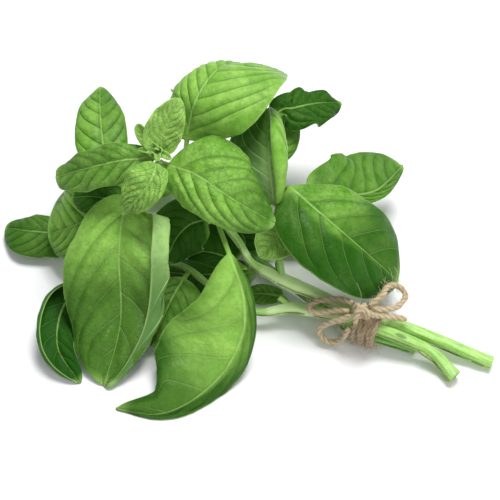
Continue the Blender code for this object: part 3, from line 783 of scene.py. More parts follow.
@dataclass
class Leaf:
    """One leaf. Left and right are those of someone looking from its foot to its tip, at its upper side.

    The foot is a stem and the number of a place on it, and the stalk passes any places listed as by. A
    half blade starts at its rise from the midrib and turns by its bend on the way to the margin, later
    where its power is higher. An outline is where the half is widest, and its fullness. A ruffle is how
    many waves the margins have, and how high. A beak is the share of its width that a half loses towards
    the tip. A flap is the share of the left half's width where its margin folds over, and by how many
    degrees. The shades darken the tip, the margins and the left and right halves.
    """

    name: str
    foot: tuple[str, int]
    midrib: list[Point]
    half_widths: tuple[float, float]
    faces: tuple[Point, Point]
    left: tuple[float, float, float] = (12, -45, 1.0)
    right: tuple[float, float, float] = (12, -45, 1.0)
    outlines: tuple = ((0.4, 0.8), (0.4, 0.8))
    ruffle: tuple[float, float] = (2, 0.6)
    by: list[Point] = field(default_factory=list)
    beaks: tuple[float, float] = (0, 0)
    flap: tuple[float, float] = (0.75, 0)
    vein_pairs: int = 6
    quilt: float = 0.5
    crinkle: float = 0.05
    swell: float = 0.5
    tip_shade: float = 0.2
    tip_from: float = 0.5
    edge_shade: float = 0.1
    half_shades: tuple[float, float] = (0, 0)
    # Lightens or darkens the whole leaf: its own tone, mixed with painted light on leaves that stand lit and
    # painted shade on leaves that lie in shadow.
    light: float = 0.0
    young: float = 0.0
    seed: int = 1
    stalk: bool = True

    CLEARANCE = 0.7
    ROW = 0.75
    COLUMN = 1.5
    STALK_ROWS = 10

    @property
    def lean(self) -> float:
        """How far along a lateral vein has come when it nears the margin."""
        return min(0.42, 0.95 * max(self.half_widths) / self.length())

    def route(self) -> list:
        """The centre line from beside the stem, along the stalk and midrib, to the tip."""
        if not self.stalk:
            return self.midrib
        centre, radius = Stems.foot(self.foot)
        rest = [*self.by, *self.midrib]
        towards = unit(np.array(rest[0], float) - centre)
        return [centre + towards * (radius + self.CLEARANCE + Sheets.petiole_thickness / 2), *rest]

    def length(self) -> float:
        """The blade's length, in millimetres."""
        return route_length(smooth_route(self.midrib, 60))

    def grid(self) -> tuple[int, int, int]:
        """Rows of the blade, columns, and rows of the stalk."""
        quick = 1.0
        rows = int(np.clip(self.length() / self.ROW, 14, 130) * quick)
        columns = 2 * int(np.clip(sum(self.half_widths) / self.COLUMN, 5, 36) * quick)
        return rows, columns, (self.STALK_ROWS if self.stalk else 0)


@dataclass(frozen=True)
class Tie:
    """Where the twine holds the stems, which run straight and side by side there."""

    centre: Point = (48.8, -31.2, 9.0)
    direction: Point = (0.93, -0.367, 0.0)
    length: float = 11.0

    @property
    def along(self) -> np.ndarray:
        """The way towards the cut ends."""
        return unit(np.array(self.direction))

    @property
    def across(self) -> np.ndarray:
        """The level way across the stems."""
        return np.array((-self.along[1], self.along[0], 0))

    def place(self, distance: float, sideways: float = 0.0, height: float = 0.0) -> np.ndarray:
        """Finds the place this far towards the cut ends, to the side and up from the centre."""
        place = np.array(self.centre) + distance * self.along + sideways * self.across
        return place + np.array((0, 0, height))


@dataclass(frozen=True)
class Stem:
    """One stem: its centre line, with the radius at each place, and its marks.

    A place named "tie" is a slot in the tie: how far it is to the side and up. Joints, scars and a stretch
    painted paler, as painted light where the stem lies lit, are in millimetres from the start. A scar also
    has its turns round the stem. The shade is painted shade over the whole stem, deeper for stems that lie
    under the others or the leaves.
    """

    route: tuple[tuple, ...]
    shade: float
    joints: tuple[float, ...] = ()
    scars: tuple[tuple[float, float], ...] = ()
    # A stretch painted paler: painted light where the stem lies lit.
    pale: tuple[float, float] | None = None

    SLOT = "tie"

    def slots(self) -> list[tuple]:
        """Lists the stem's slots in the tie, with its radius there."""
        return [place[1:4] for place in self.route if place[0] == self.SLOT]

    def places(self, tie: Tie) -> np.ndarray:
        """Lists the stem's places with their radii, where its slot in the tie is a straight stretch."""
        routed = []
        for place in self.route:
            if place[0] == self.SLOT:
                routed += [(*tie.place(distance, *place[1:3]), place[3])
                           for distance in (tie.length / 2, -tie.length / 2)]
            else:
                routed.append(place)
        return np.array(routed, float)


@dataclass
class Stems:
    """The three stems, with the branch and the stub of a cut shoot. Sizes are in millimetres."""

    skin: bpy.types.Material
    cut: bpy.types.Material
    tie: Tie = Tie()
    sides: int = 32
    step: float = 0.6
    rib_depth: float = 0.075
    fine_rib_depth: float = 0.012
    wobble: float = 0.02
    joint_swell: float = 0.10
    joint_length: float = 1.8
    scar_size: tuple[float, float] = (2.6, 1.1)
    scar_depth: float = 0.07
    flare: float = 0.06
    flare_length: float = 2.5
    painted_light_fade: float = 8.0
    floor_gap: float = 0.02
    cut_rim: float = 0.18
    cut_slope: float = 0.7
    cut_depth: float = 0.12

    STEMS = {
        "stem_main": Stem((
            (99, -46, 2.5, 2.7), (69, -33.5, 7, 2.6), ("tie", 2.9, 0.8, 2.5), (31.5, -19.5, 12, 2.4),
            (13.5, -13, 16, 2.9), (1, -8, 21, 1.5), (-5, -3, 30, 1.4), (-15, 4, 40, 1.6),
            (-27, 11.5, 50, 1.5), (-37, 16, 57, 1.3),
        ), 0, (87, 101.5, 113, 127, 143), ((31, 0.62),), (58, 98)),
        "stem_front": Stem((
            (83, -53, 2.8, 3), (73, -42.5, 6.5, 2.4), ("tie", -2.6, 2.8, 2.5), (32.5, -27, 10.5, 2.1),
            (18, -22.5, 9, 2.5), (3.5, -24, 8, 1.4), (-9.5, -19, 9, 1.3), (-25.5, -4.5, 12, 1.4),
            (-43, 1.5, 14, 1.4), (-58, 6, 14, 1.2),
        ), 0.1, (69, 84, 97, 114, 133), ((28, 0.3),), (58, 80)),
        "stem_under": Stem((
            (68, -39, 2.6, 2.1), ("tie", -2.3, -3.4, 2.3), (34, -21.5, 4.5, 2.1), (21.5, -10.5, 5, 2),
            (5, 5, 6, 1.6), (-11, 24.5, 7, 1.5), (-25, 42, 8, 1.3),
        ), 0.6, (62, 81)),
        "branch": Stem((
            (13.5, -13, 16, 1.7), (12, -6, 24, 1.6), (11.5, 2.5, 32, 1.7), (12.5, 12.5, 38, 1.6),
            (11.5, 25, 42, 1.4),
        ), 0.35, (22, 34)),
        "stub": Stem(((18, -22.5, 9, 1.3), (12, -18.5, 10.5, 1.3)), 0.05),
    }
    WHOLE = {"stem_main": ("stem_main", "branch"), "stem_front": ("stem_front", "stub"),
             "stem_under": ("stem_under",)}

    @classmethod
    def foot(cls, foot: tuple[str, int]) -> tuple[np.ndarray, float]:
        """Finds the place and radius of the stem where a leaf grows."""
        stem, index = foot
        place = cls.STEMS[stem].route[index]
        return np.array(place[:3], float), place[3]

    def tube(self, name: str, stem: Stem) -> bpy.types.Object:
        """Builds a ribbed tube with cut ends.

        Args:
            name: The object's name.
            stem: The stem.

        Returns:
            The closed tube, in the shared frame.
        """
        places = stem.places(self.tie)
        rough = smooth_route(places[:, :3], 200)
        count = int(route_length(rough) / (self.step * 1)) + 2
        line = smooth_route(places[:, :3], count)
        passed = np.concatenate([[0], np.cumsum(np.linalg.norm(np.diff(places[:, :3], axis=0), axis=1))])
        radii = np.interp(np.linspace(0, passed[-1], count), passed, places[:, 3])
        travelled = np.linspace(0, route_length(line), count)
        tangents = unit(np.gradient(line, axis=0))
        level = unit(np.cross(tangents, (0.0, 0.0, 1.0)))
        upright = np.cross(level, tangents)

        made, turn, ring = grid(self.sides, count - 1)
        turn, ring = turn * math.pi, np.rint(ring).astype(int)
        at = travelled[ring]
        ribs = 1 - self.rib_depth * np.cos(4 * turn) ** 2 * np.sign(np.cos(4 * turn))
        ribs += self.fine_rib_depth * np.cos(12 * turn + at * 0.08)
        swells = sum((self.joint_swell * np.exp(-((at - joint) / self.joint_length) ** 2)
                      for joint in stem.joints), np.zeros_like(at))
        wobble = self.wobble * ripple(at / 6, turn * 2 / math.pi + 5, 11)
        reach = radii[ring] * (ribs + swells + wobble)
        scarred = np.zeros_like(at)
        length, width = self.scar_size
        for where, turns in stem.scars:
            away = np.angle(np.exp(1j * (turn - 2 * math.pi * turns))) * radii[ring]
            edge = np.hypot((at - where) / length, away / width) * 1.2
            scarred = np.maximum(scarred, ease(1.5, 0.8, edge))
        reach = reach * (1 - self.scar_depth * scarred)
        reach = reach * (1 + self.flare * np.exp(-at / self.flare_length))
        points = ring_points(line[ring], level[ring], upright[ring], reach, turn)
        points[:, 2] = np.maximum(points[:, 2], self.floor_gap)
        mesh = put(made, name, to_frame(points))

        joint_pallor_and_painted_light = swells * 10
        # The joints are paler in their own colour; the stretch is painted light where the stem lies lit.
        if stem.pale:
            low, high = stem.pale
            joint_pallor_and_painted_light = joint_pallor_and_painted_light + ease(low - self.painted_light_fade, low, at) * ease(high + self.painted_light_fade, high, at)
        add_vectors(mesh, "stem_marks_and_painted_light", stem.shade, np.clip(joint_pallor_and_painted_light, 0, 1), scarred)
        add_uv(mesh, np.stack([turn / (2 * math.pi), at / 40 + stem.shade], axis=1))
        mesh.materials.append(self.skin)
        mesh.materials.append(self.cut)
        self.close(mesh)
        return add_object(name, mesh)

    def close(self, mesh: bpy.types.Mesh) -> None:
        """Welds the tube's seam and caps its ends with a sunken, ringed cut."""
        tube = bmesh.new()
        tube.from_mesh(mesh)
        bmesh.ops.remove_doubles(tube, verts=tube.verts[:], dist=1e-6)
        ends = [edge for edge in tube.edges if edge.is_boundary]
        layer = tube.verts.layers.float_vector["stem_marks_and_painted_light"]
        for cap in bmesh.ops.holes_fill(tube, edges=ends, sides=0)["faces"]:
            rim = bmesh.ops.inset_individual(tube, faces=[cap], thickness=self.cut_rim * MM)["faces"]
            slope = bmesh.ops.inset_individual(tube, faces=[cap], thickness=self.cut_slope * MM,
                                               depth=-self.cut_depth * MM)["faces"]
            for vert in cap.verts:
                vert[layer] = (0.25, 0.0, 0.0)
            centre = bmesh.ops.poke(tube, faces=[cap])
            for vert in centre["verts"]:
                vert[layer] = (0.0, 0.0, 0.0)
            for face in (*rim, *slope, *centre["faces"]):
                face.material_index = 1
        bmesh.ops.recalc_face_normals(tube, faces=tube.faces[:])
        tube.to_mesh(mesh)
        tube.free()

    def build(self) -> None:
        """Builds the stems and sets them in place of their CAD nodes."""
        for name, names in self.WHOLE.items():
            parts = [self.tube(part, self.STEMS[part]) for part in names]
            settle(join(f"{name}_skin", parts), Slot.STEM, name)


@dataclass
class Foliage:
    """All the leaves and the bud. Places and sizes are in millimetres."""

    sheets: Sheets
    bud_place: Point = (-37.2, 15.4, 62.6)
    bud_towards: Point = (-0.3, -0.5, 0.8)
    bud_size: float = 5.0

    TO_FRONT = ((0, -0.4, 0.9), (0, -0.4, 0.9))
    LEVEL = ((0, 0, 1), (0, 0, 1))
    TILTED = ((0, -0.3, 0.95), (0, -0.3, 0.95))
    ROUND = ((0.45, 0.62), (0.45, 0.62))
    YOUNG = {"leaf_crown_front", "leaf_crown_back", "leaf_small_curled"}
    BUD_SIDE = [(-37.5, 16.0, 63.5), (-41.5, 19.5, 66.0), (-44.0, 21.5, 69.0), (-45.5, 23.0, 71.5)]
    BUD_LOW_TIPS = [(-45.0, 14.8, 65.0), (-31.8, 12.0, 62.6), (-37.0, 9.5, 64.0)]

    def leaves(self) -> list[Leaf]:
        """Lists the leaves, as the CAD source does, with their veins and tones."""
        return [
            Leaf("leaf_crown_right", ("stem_main", 9),
                 [(-32.5, 12, 59), (-21.5, 4, 62), (-6.5, -4, 56), (10, -6, 44)],
                 (22.5, 15), ((0, -0.45, 0.9), (0.3, -0.35, 0.9)), (8, -45, 1.2), (5, -70, 1.2),
                 ((0.34, 0.8), (0.36, 0.62)), vein_pairs=6, quilt=1.0, crinkle=0.22, swell=0.7,
                 half_shades=(0.15, 0), tip_shade=0.45, light=0.15, seed=3),
            Leaf("leaf_crown_left", ("stem_main", 9),
                 [(-41, 15, 60), (-51.5, 12, 62), (-64.5, 13, 57), (-81, 18, 46)],
                 (10, 8), ((0, -0.35, 0.95), (0, -0.3, 0.95)), (5, -35, 1.2), (15, -20, 1.2),
                 ((0.5, 0.6), (0.45, 0.5)), (3, 0.9), quilt=0.9, crinkle=0.2, light=-0.35, young=0.1,
                 seed=4),
            Leaf("leaf_crown_front", ("stem_main", 9),
                 [(-37.5, 9.5, 62), (-39.5, 1.5, 61), (-45, -3, 55), (-51.5, -4, 47)],
                 (7, 10), ((0, -0.75, 0.65), (0, -0.8, 0.6)), (15, -30, 1.2), (15, -30, 1.2),
                 ((0.38, 0.95), (0.34, 1.0)), (3, 0.6), vein_pairs=7, quilt=1.1, crinkle=0.4, light=0.2,
                 young=0.35, seed=5),
            Leaf("leaf_crown_back", ("stem_main", 9),
                 [(-36, 17, 61), (-35, 20, 69), (-31, 25, 76), (-28, 29, 80)],
                 (9, 8), ((0.1, -0.85, 0.5), (0.1, -0.85, 0.5)), (20, 10, 1.5), (20, 10, 1.5),
                 ruffle=(3, 0.6), vein_pairs=7, quilt=1.1, crinkle=0.4, light=0.7, young=0.55, seed=6),
            Leaf("leaf_left_high", ("stem_main", 8),
                 [(-57, 19, 46), (-61, 28, 52), (-63.5, 45, 56), (-66, 67, 52)],
                 (12, 11), ((0, -0.2, 1), (0, -0.1, 1)), by=[(-35, 21, 49)], quilt=0.25,
                 half_shades=(0, 0.3), light=-0.1, seed=7),
            Leaf("leaf_top", ("stem_main", 8),
                 [(-26, 27, 59), (-22, 33, 75), (-13, 49, 78), (-3, 66, 66), (2, 77, 52)],
                 (17, 28), ((0, -0.45, 0.9), (0, 0.5, 0.87)), (0, -60, 1.2), (8, -30, 1.2),
                 ((0.3, 0.6), (0.42, 0.75)), vein_pairs=9, quilt=0.6, swell=1.0, crinkle=0.1,
                 light=0.22, seed=8),
            Leaf("leaf_left_long", ("stem_main", 8),
                 [(-49.5, 9.5, 41), (-53.5, -10, 33.5), (-53, -33, 14), (-59, -56, 1)],
                 (31.5, 24), ((0, -0.6, 0.8), (0, -0.5, 0.85)), (8, 15, 1.5), (8, -30, 1.2),
                 ((0.26, 0.62), (0.48, 0.82)), flap=(0.73, 158), vein_pairs=5, quilt=1.7, swell=1.9,
                 crinkle=0.18, tip_shade=0.72, tip_from=0.2, light=0.55, seed=9),
            Leaf("leaf_front_long", ("stem_main", 7),
                 [(-8.5, -17, 38), (-2.8, -30.5, 29), (-2.8, -41, 18), (-9, -52, 9), (-21, -63, 4),
                  (-36, -69.5, 1.5), (-53.5, -66, 0)],
                 (7.8, 31), ((0.1, -0.5, 0.85), (-0.2, -0.6, 0.8)), (-15, -45, 1.0), (8, -35, 1.2),
                 ((0.66, 0.55), (0.48, 1.15)), beaks=(0, 0.5), vein_pairs=5, quilt=0.6, swell=0.9,
                 tip_shade=0.75, tip_from=0.4, edge_shade=0.35, half_shades=(0.6, 0),
                 crinkle=0.12, light=0.5, seed=10),
            Leaf("leaf_right_long", ("branch", 3),
                 [(16.5, 11.5, 46), (27.5, 0, 45), (41.5, -8, 36), (56, -12, 22), (62.5, -12.5, 14)],
                 (22.5, 23), ((0.2, -0.45, 0.87), (0.5, -0.3, 0.8)), (12, -40, 1.2), (12, -40, 1.2),
                 ((0.62, 0.75), (0.44, 0.75)), vein_pairs=5, quilt=0.7, swell=0.8, tip_shade=0.7,
                 tip_from=0.3, half_shades=(0.05, 0.75), crinkle=0.12, light=-0.15, seed=11),
            Leaf("leaf_right_high", ("branch", 3), [(24, 19, 36), (37, 18, 35), (54, 26, 29), (69, 50, 20)],
                 (21, 5), ((0, -0.3, 0.95), (0.3, -0.2, 0.9)), (12, -25, 1.0), (12, -45, 1.0),
                 ((0.44, 0.6), (0.5, 0.7)), by=[(18, 17, 36)], vein_pairs=6, quilt=0.6, swell=0.8, light=-0.5,
                 seed=12),
            Leaf("leaf_folded", ("branch", 3), [(10.3, 6, 43), (8.8, 13, 50), (7.8, 27, 54), (7.5, 49, 55)],
                 (20, 18), ((0.1, 0.85, -0.5), (0.1, 0.8, -0.6)), (-20, -190, 2), (-5, -20, 1.5),
                 ((0.45, 1.0), (0.4, 0.8)), quilt=0.6, half_shades=(0, 0.75), light=0.2, seed=13),
            Leaf("leaf_back_right", ("branch", 4),
                 [(12, 56, 45), (20.5, 59, 47), (30.5, 66, 43), (41, 73, 37)],
                 (10, 11), ((0, -0.3, 0.95), (0.2, -0.2, 0.95)), ruffle=(3, 2), vein_pairs=6, quilt=1.3,
                 crinkle=0.3, light=-0.85, seed=14),
            Leaf("leaf_left_end", ("stem_front", 9),
                 [(-77, 14, 8), (-88, 18, 10), (-98, 19.5, 10), (-109.5, 26.5, 4)],
                 (12, 9), self.TILTED, outlines=self.ROUND, quilt=0.5, light=-0.65,
                 seed=15),
            Leaf("leaf_left_mid", ("stem_front", 9),
                 [(-59, 17, 27), (-67.5, 12, 27), (-78, 11.5, 21), (-88, 14, 14)],
                 (15, 21), ((0, -0.4, 0.9), (-0.3, -0.4, 0.85)), outlines=((0.45, 0.62), (0.6, 0.48)),
                 quilt=0.7, swell=0.9, edge_shade=0.4, light=0.05, seed=16),
            Leaf("leaf_left_curled", ("stem_front", 8),
                 [(-69, -14, 8), (-78, -21, 9), (-79, -40, 6), (-69, -54, 0)],
                 (8, 13), ((0, -0.5, 0.85), (0, -0.5, 0.85)), (-5, 5, 1.5), (0, 170, 2.2), quilt=0.5,
                 light=-0.97, seed=17),
            Leaf("leaf_under_long", ("stem_front", 7),
                 [(-28, -12, 15), (-32, -21, 15), (-37, -31, 10), (-41, -39, 5)],
                 (13, 10), self.TILTED, outlines=((0.33, 0.65), (0.4, 0.8)),
                 light=-0.5, seed=18),
            Leaf("leaf_joint", ("stem_front", 4),
                 [(13.5, -13.5, 5), (8, -12, 5), (1, -10.5, 3.5), (-5, -9, 2)],
                 (5, 5), self.TILTED, quilt=0.5, light=-0.35, seed=19),
            Leaf("leaf_small_curled", ("branch", 2),
                 [(15.5, -0.5, 33.5), (13, -3, 33.5), (9.5, -6.5, 32.5), (4, -11.5, 29)],
                 (9, 13), ((0, -0.6, 0.8), (0, -0.6, 0.8)), (10, 20, 1.5), (15, 80, 1.5), quilt=0.7,
                 crinkle=0.3, light=0.85, young=0.3, seed=20),
            Leaf("leaf_inner_high", ("stem_main", 7),
                 [(-18, 2, 37), (-25, 1, 35), (-31, -3, 30), (-35, -10, 23)],
                 (12, 15), self.TO_FRONT, outlines=((0.35, 0.65), (0.4, 0.6)), light=-0.85, seed=21),
            Leaf("leaf_inner_low", ("stem_main", 5),
                 [(-6, -6, 19), (-11, -3.5, 20), (-19, -1, 20), (-29, 0, 18)],
                 (6, 15), self.TO_FRONT, outlines=((0.35, 0.7), (0.35, 0.7)), by=[(-2.5, -9, 19)], light=-0.9,
                 seed=22),
            Leaf("leaf_inner_right", ("stem_under", 4),
                 [(5.5, 8.5, 10), (3.5, 13, 13), (0, 19, 15), (-4, 27, 16)],
                 (10, 10), self.TILTED, light=-0.9, seed=28),
            Leaf("leaf_inner_under", ("stem_under", 4),
                 [(0, 0.5, 3.4), (-12, 0, 3.6), (-26, 0.5, 3), (-40, 4, 1)],
                 (11, 12), self.LEVEL, outlines=((0.45, 0.6), (0.45, 0.45)), light=-0.85, seed=29),
            Leaf("leaf_left_inner", ("stem_front", 8),
                 [(-54, 16.5, 31), (-62, 16, 35), (-69, 17, 35), (-76, 19, 32)],
                 (9, 9), self.TO_FRONT, by=[(-47, 10, 22)], light=-0.8, seed=23),
            Leaf("leaf_back_left", ("stem_under", 6),
                 [(-34, 47, 9), (-46, 52, 10), (-58, 57, 6), (-68, 60, 0)],
                 (12, 12), self.LEVEL, light=-0.2, seed=24),
            Leaf("leaf_back_middle", ("stem_under", 6),
                 [(-22, 49, 10), (-16, 58, 12), (-8, 68, 8), (0, 78, 0)],
                 (12, 12), self.LEVEL, light=-0.2, seed=25),
            Leaf("leaf_back_low", ("stem_under", 4), [(12, 14, 8), (26, 28, 9), (38, 38, 6), (50, 48, 0)],
                 (13, 13), self.LEVEL, light=-0.3, seed=26),
            Leaf("leaf_back_high", ("branch", 4), [(9, 38, 33), (14, 52, 35), (16, 66, 36), (19, 77, 38)],
                 (8, 8), ((0, -0.2, 1), (0, -0.2, 1)), light=-0.4, seed=27),
        ]

    def tiny(self, name: str, route: list, half_width: float, face: Point, seed: int) -> bpy.types.Object:
        """Builds a leaf of the bud, without a stalk."""
        return self.sheets.make(name, Leaf(
            name, ("stem_main", 9), [tuple(place) for place in route], (half_width, half_width),
            (face, face), (25, 20, 1), (25, 20, 1), self.ROUND, (1, 0), vein_pairs=5, quilt=0.25,
            crinkle=0.05, light=0.1, young=0.7, seed=seed, stalk=False))

    def bud(self) -> list[bpy.types.Object]:
        """Builds the growing tip: crossed pairs of tiny leaves, a heart of two, a side one and low ones."""
        place, towards, size = np.array(self.bud_place), unit(np.array(self.bud_towards)), self.bud_size
        first = unit(np.cross(towards, (0.3, 1, 0.1)))
        second = np.cross(towards, first)
        parts = []
        for index in range(4):
            angle = index * math.pi / 2 + 0.4
            outward = first * math.cos(angle) + second * math.sin(angle)
            reach = size * (1.0 if index % 2 else 0.8)
            route = [place - 0.1 * reach * towards, place + reach * (0.45 * outward + 0.35 * towards),
                     place + reach * (0.75 * outward + 0.8 * towards)]
            parts.append(self.tiny(f"bud_{index}", route, 0.38 * size, tuple(towards - outward), 30 + index))
        for index in range(2):
            angle = index * math.pi + 1.2
            outward = first * math.cos(angle) + second * math.sin(angle)
            route = [place, place + size * (0.16 * outward + 0.4 * towards),
                     place + size * (0.1 * outward + 0.85 * towards)]
            face = tuple(towards - outward)
            parts.append(self.tiny(f"bud_heart_{index}", route, 0.2 * size, face, 36 + index))
        parts.append(self.tiny("bud_side", self.BUD_SIDE, 3.5, (0.0, -0.8, 0.6), 40))
        for index, tip in enumerate(self.BUD_LOW_TIPS):
            route = [place, 0.5 * (place + np.array(tip)) + np.array((0, -0.2, 1.0)), tip]
            parts.append(self.tiny(f"bud_low_{index}", route, 1.7, (0.0, -0.6, 0.8), 41 + index))
        return parts

    def build(self) -> None:
        """Builds every leaf and sets it in place of its CAD node."""
        for leaf in self.leaves():
            parts = [self.sheets.make(leaf.name + "_blade", leaf)]
            if leaf.name == "leaf_crown_back":
                parts += self.bud()
            slot = Slot.YOUNG if leaf.name in self.YOUNG else Slot.LEAF
            settle(join(leaf.name + "_blade", parts), slot, leaf.name)


@dataclass
class Twine:
    """The jute twine: the turns round the stems, the knot, the bow's loops and tails, and loose fibres.

    Sizes are in millimetres. A knot shape is a short turn's half sizes, its tilt and its wave's lead.
    """

    jute: bpy.types.Material
    darker_jute: bpy.types.Material
    tie: Tie = Tie()
    radius: float = 1.2
    plies: int = 3
    twist: float = 9.5
    ply_depth: float = 0.22
    end_taper: float = 0.25
    loose: float = 0.07
    turns: int = 5
    turn_radius: float = 1.12
    pitch: float = 1.95
    stem_to_twine: float = 0.7
    softness: float = 0.35
    knot_radius: float = 1.15
    fibre_radius: float = 0.06
    fibres_per_mm: float = 5.0
    fibre_steps: int = 5

    KNOT = np.array((44.8, -33.2, 21.2))
    KNOT_SHAPES = (((3.0, 2.3, 2.0), 0.5, 0.0), ((2.6, 2.4, 2.1), -0.9, 0.9), ((2.9, 1.5, 1.7), 0.1, 2.0))
    ROUTES = {
        "twine_loop_front": [(40.5, -34.5, 19.5), (37.5, -34, 16.5), (32.5, -32.5, 12), (29, -32.5, 8.5),
                             (29.5, -34, 5), (33, -35.5, 3), (37, -36, 4.5), (39, -36.5, 9),
                             (40, -37, 14)],
        "twine_loop_back": [(48.5, -31, 21.5), (51, -29, 22.5), (54, -26.5, 22.5), (56, -21.5, 21),
                            (59.5, -18, 19), (63, -18.5, 17), (64.5, -21.5, 16), (62.5, -25.5, 16.5),
                            (59.5, -29, 18), (55, -31.5, 20), (49.5, -32.5, 21.5)],
        "twine_tail_left": [(42, -29, 21), (37, -26, 19.5), (31.5, -24.3, 17.3), (27, -24.4, 15.6),
                            (24.3, -26.4, 14.4), (26.5, -28.8, 14.2), (32, -29.2, 15.5), (37, -30.5, 17.8),
                            (40.3, -31.6, 18.8)],
        "twine_tail_right": [(42.4, -38, 19.5), (42.8, -37.2, 24.5), (45, -36.5, 26.5), (48, -36.5, 24),
                             (50.5, -35, 20.5), (57, -33, 17), (64, -32, 14)],
    }
    WISPS = [((60.5, -18.5, 19.5), (63, -13, 25)), ((62.5, -18.5, 18.5), (59.5, -12.5, 24)),
             ((63.5, -19.5, 17.5), (68, -15, 22)), ((58.5, -19.5, 20.5), (57, -14.5, 26)),
             ((45, -31, 23), (43, -25, 29)), ((47, -36, 23), (50, -43, 17))]

    @staticmethod
    def level_ways(line: np.ndarray, tangents: np.ndarray) -> np.ndarray:
        """Carries a way across the line from its start to its end without a twist."""
        level = np.zeros_like(line)
        level[0] = unit(np.cross(tangents[0], (0.21, 0.13, 0.97)))
        for index in range(1, len(line)):
            carried = level[index - 1] - tangents[index] * np.dot(level[index - 1], tangents[index])
            level[index] = unit(carried)
        return level

    def strand(self, name: str, line: np.ndarray, closed: bool, material: bpy.types.Material,
               radius: float, seed: int) -> bpy.types.Object:
        """Builds a plied strand.

        Args:
            name: The object's name.
            line: Its centre line, evenly spaced, in layout millimetres.
            closed: Whether it meets itself.
            material: Its material.
            radius: Its outer radius, in millimetres.
            seed: Which unevenness it has.

        Returns:
            The closed mesh, in the shared frame.
        """
        if closed:
            line = np.vstack([line, line[:1]])
            stretched = np.vstack([line[-2], line, line[1]])
            tangents = unit((stretched[2:] - stretched[:-2]) / 2)
        else:
            tangents = unit(np.gradient(line, axis=0))
        length = route_length(line)
        travelled = np.linspace(0, length, len(line))
        level = self.level_ways(line, tangents)
        upright = np.cross(tangents, level)
        gap, turns = 0.0, length / self.twist
        if closed:
            ending = level[-1] - tangents[0] * np.dot(level[-1], tangents[0])
            gap = math.atan2(np.dot(np.cross(ending, level[0]), tangents[0]), np.dot(ending, level[0]))
            turns = max(1, round(turns))

        made, turn, ring = grid(24, len(line) - 1)
        turn, ring = turn * math.pi, np.rint(ring).astype(int)
        share = ring / (len(line) - 1)
        ply = self.plies * (turn - 2 * math.pi * turns * share)
        lobe = np.abs(np.cos(ply / 2))
        loose = self.loose * ripple(travelled[ring] / 2.2, (np.cos(turn) + 2) * 2, seed)
        taper = 0 if closed else self.end_taper * (1 - ease(0, 0.03, np.minimum(share, 1 - share)))
        reach = radius * (1 - self.ply_depth + self.ply_depth * lobe**0.7 + loose) * (1 - taper)
        points = ring_points(line[ring], level[ring], upright[ring], reach, turn + share * gap)
        mesh = put(made, name, to_frame(points))
        add_vectors(mesh, "twine_groove_shade", 1 - lobe**0.6, share, 0)
        add_uv(mesh, np.stack([ply / (2 * math.pi), travelled[ring] / 40 + 0.37 * seed], axis=1))
        mesh.materials.append(material)
        self.close(mesh, closed)
        return add_object(name, mesh)

    @staticmethod
    def close(mesh: bpy.types.Mesh, closed: bool) -> None:
        """Welds a strand's seam, and caps its ends if it has any."""
        strand = bmesh.new()
        strand.from_mesh(mesh)
        bmesh.ops.remove_doubles(strand, verts=strand.verts[:], dist=2e-6)
        if not closed:
            rims = [edge for edge in strand.edges if edge.is_boundary]
            caps = bmesh.ops.holes_fill(strand, edges=rims, sides=0)["faces"]
            bmesh.ops.poke(strand, faces=caps)
        bmesh.ops.recalc_face_normals(strand, faces=strand.faces[:])
        strand.to_mesh(mesh)
        strand.free()

    def turn_line(self, turn: int, tilt: float) -> np.ndarray:
        """Finds a turn's line round the stems' outer outline, leaning along them by its tilt."""
        slots = [slot for stem in Stems.STEMS.values() for slot in stem.slots()]
        middles, radii = np.array([slot[:2] for slot in slots]), np.array([slot[2] for slot in slots])
        start = (turn - (self.turns - 1) / 2) * self.pitch
        line = []
        for angle in 2 * math.pi * np.arange(96) / 96:
            way = np.array((math.cos(angle), math.sin(angle)))
            reaches = middles @ way + radii
            weights = np.exp((reaches - reaches.max()) / self.softness)
            weights = weights / weights.sum()
            outward = weights @ radii + self.stem_to_twine + self.radius
            distance = start + tilt * math.sin(angle + 0.7)
            line.append(self.tie.place(distance, *(weights @ middles + outward * way)))
        return smooth_route([*line, line[0]], 180)[:-1]

    def wraps(self) -> None:
        """Builds the turns round the stems, which lean to and fro."""
        parts = [self.strand(f"wrap_{turn}", self.turn_line(turn, 0.5 * (-1) ** turn), True, self.darker_jute,
                             self.turn_radius, 50 + turn) for turn in range(self.turns)]
        settle(join("twine_wraps_jute", parts), Slot.TWINE, "twine_wraps")

    def knot(self) -> None:
        """Builds the knot from short turns that cross."""
        angle = 2 * math.pi * np.arange(60) / 60
        parts = []
        for index, ((length, width, height), tilt, lead) in enumerate(self.KNOT_SHAPES):
            out = width * np.cos(angle)
            swing = tilt * out + 0.25 * length * np.sin(2 * angle + lead)
            line = self.KNOT + np.stack([swing, out, height * np.sin(angle)], axis=1)
            parts.append(self.strand(f"knot_{index}", line, True, self.jute, self.knot_radius, 60 + index))
        settle(join("twine_knot_jute", parts), Slot.TWINE, "twine_knot")

    def bow(self) -> None:
        """Builds the loops and tails."""
        for index, (name, route) in enumerate(self.ROUTES.items()):
            length = route_length(smooth_route(route, 400))
            line = smooth_route(route, int(length / (0.35)))
            piece = self.strand(name + "_jute", line, False, self.jute, self.radius, 70 + index)
            settle(piece, Slot.TWINE, name)

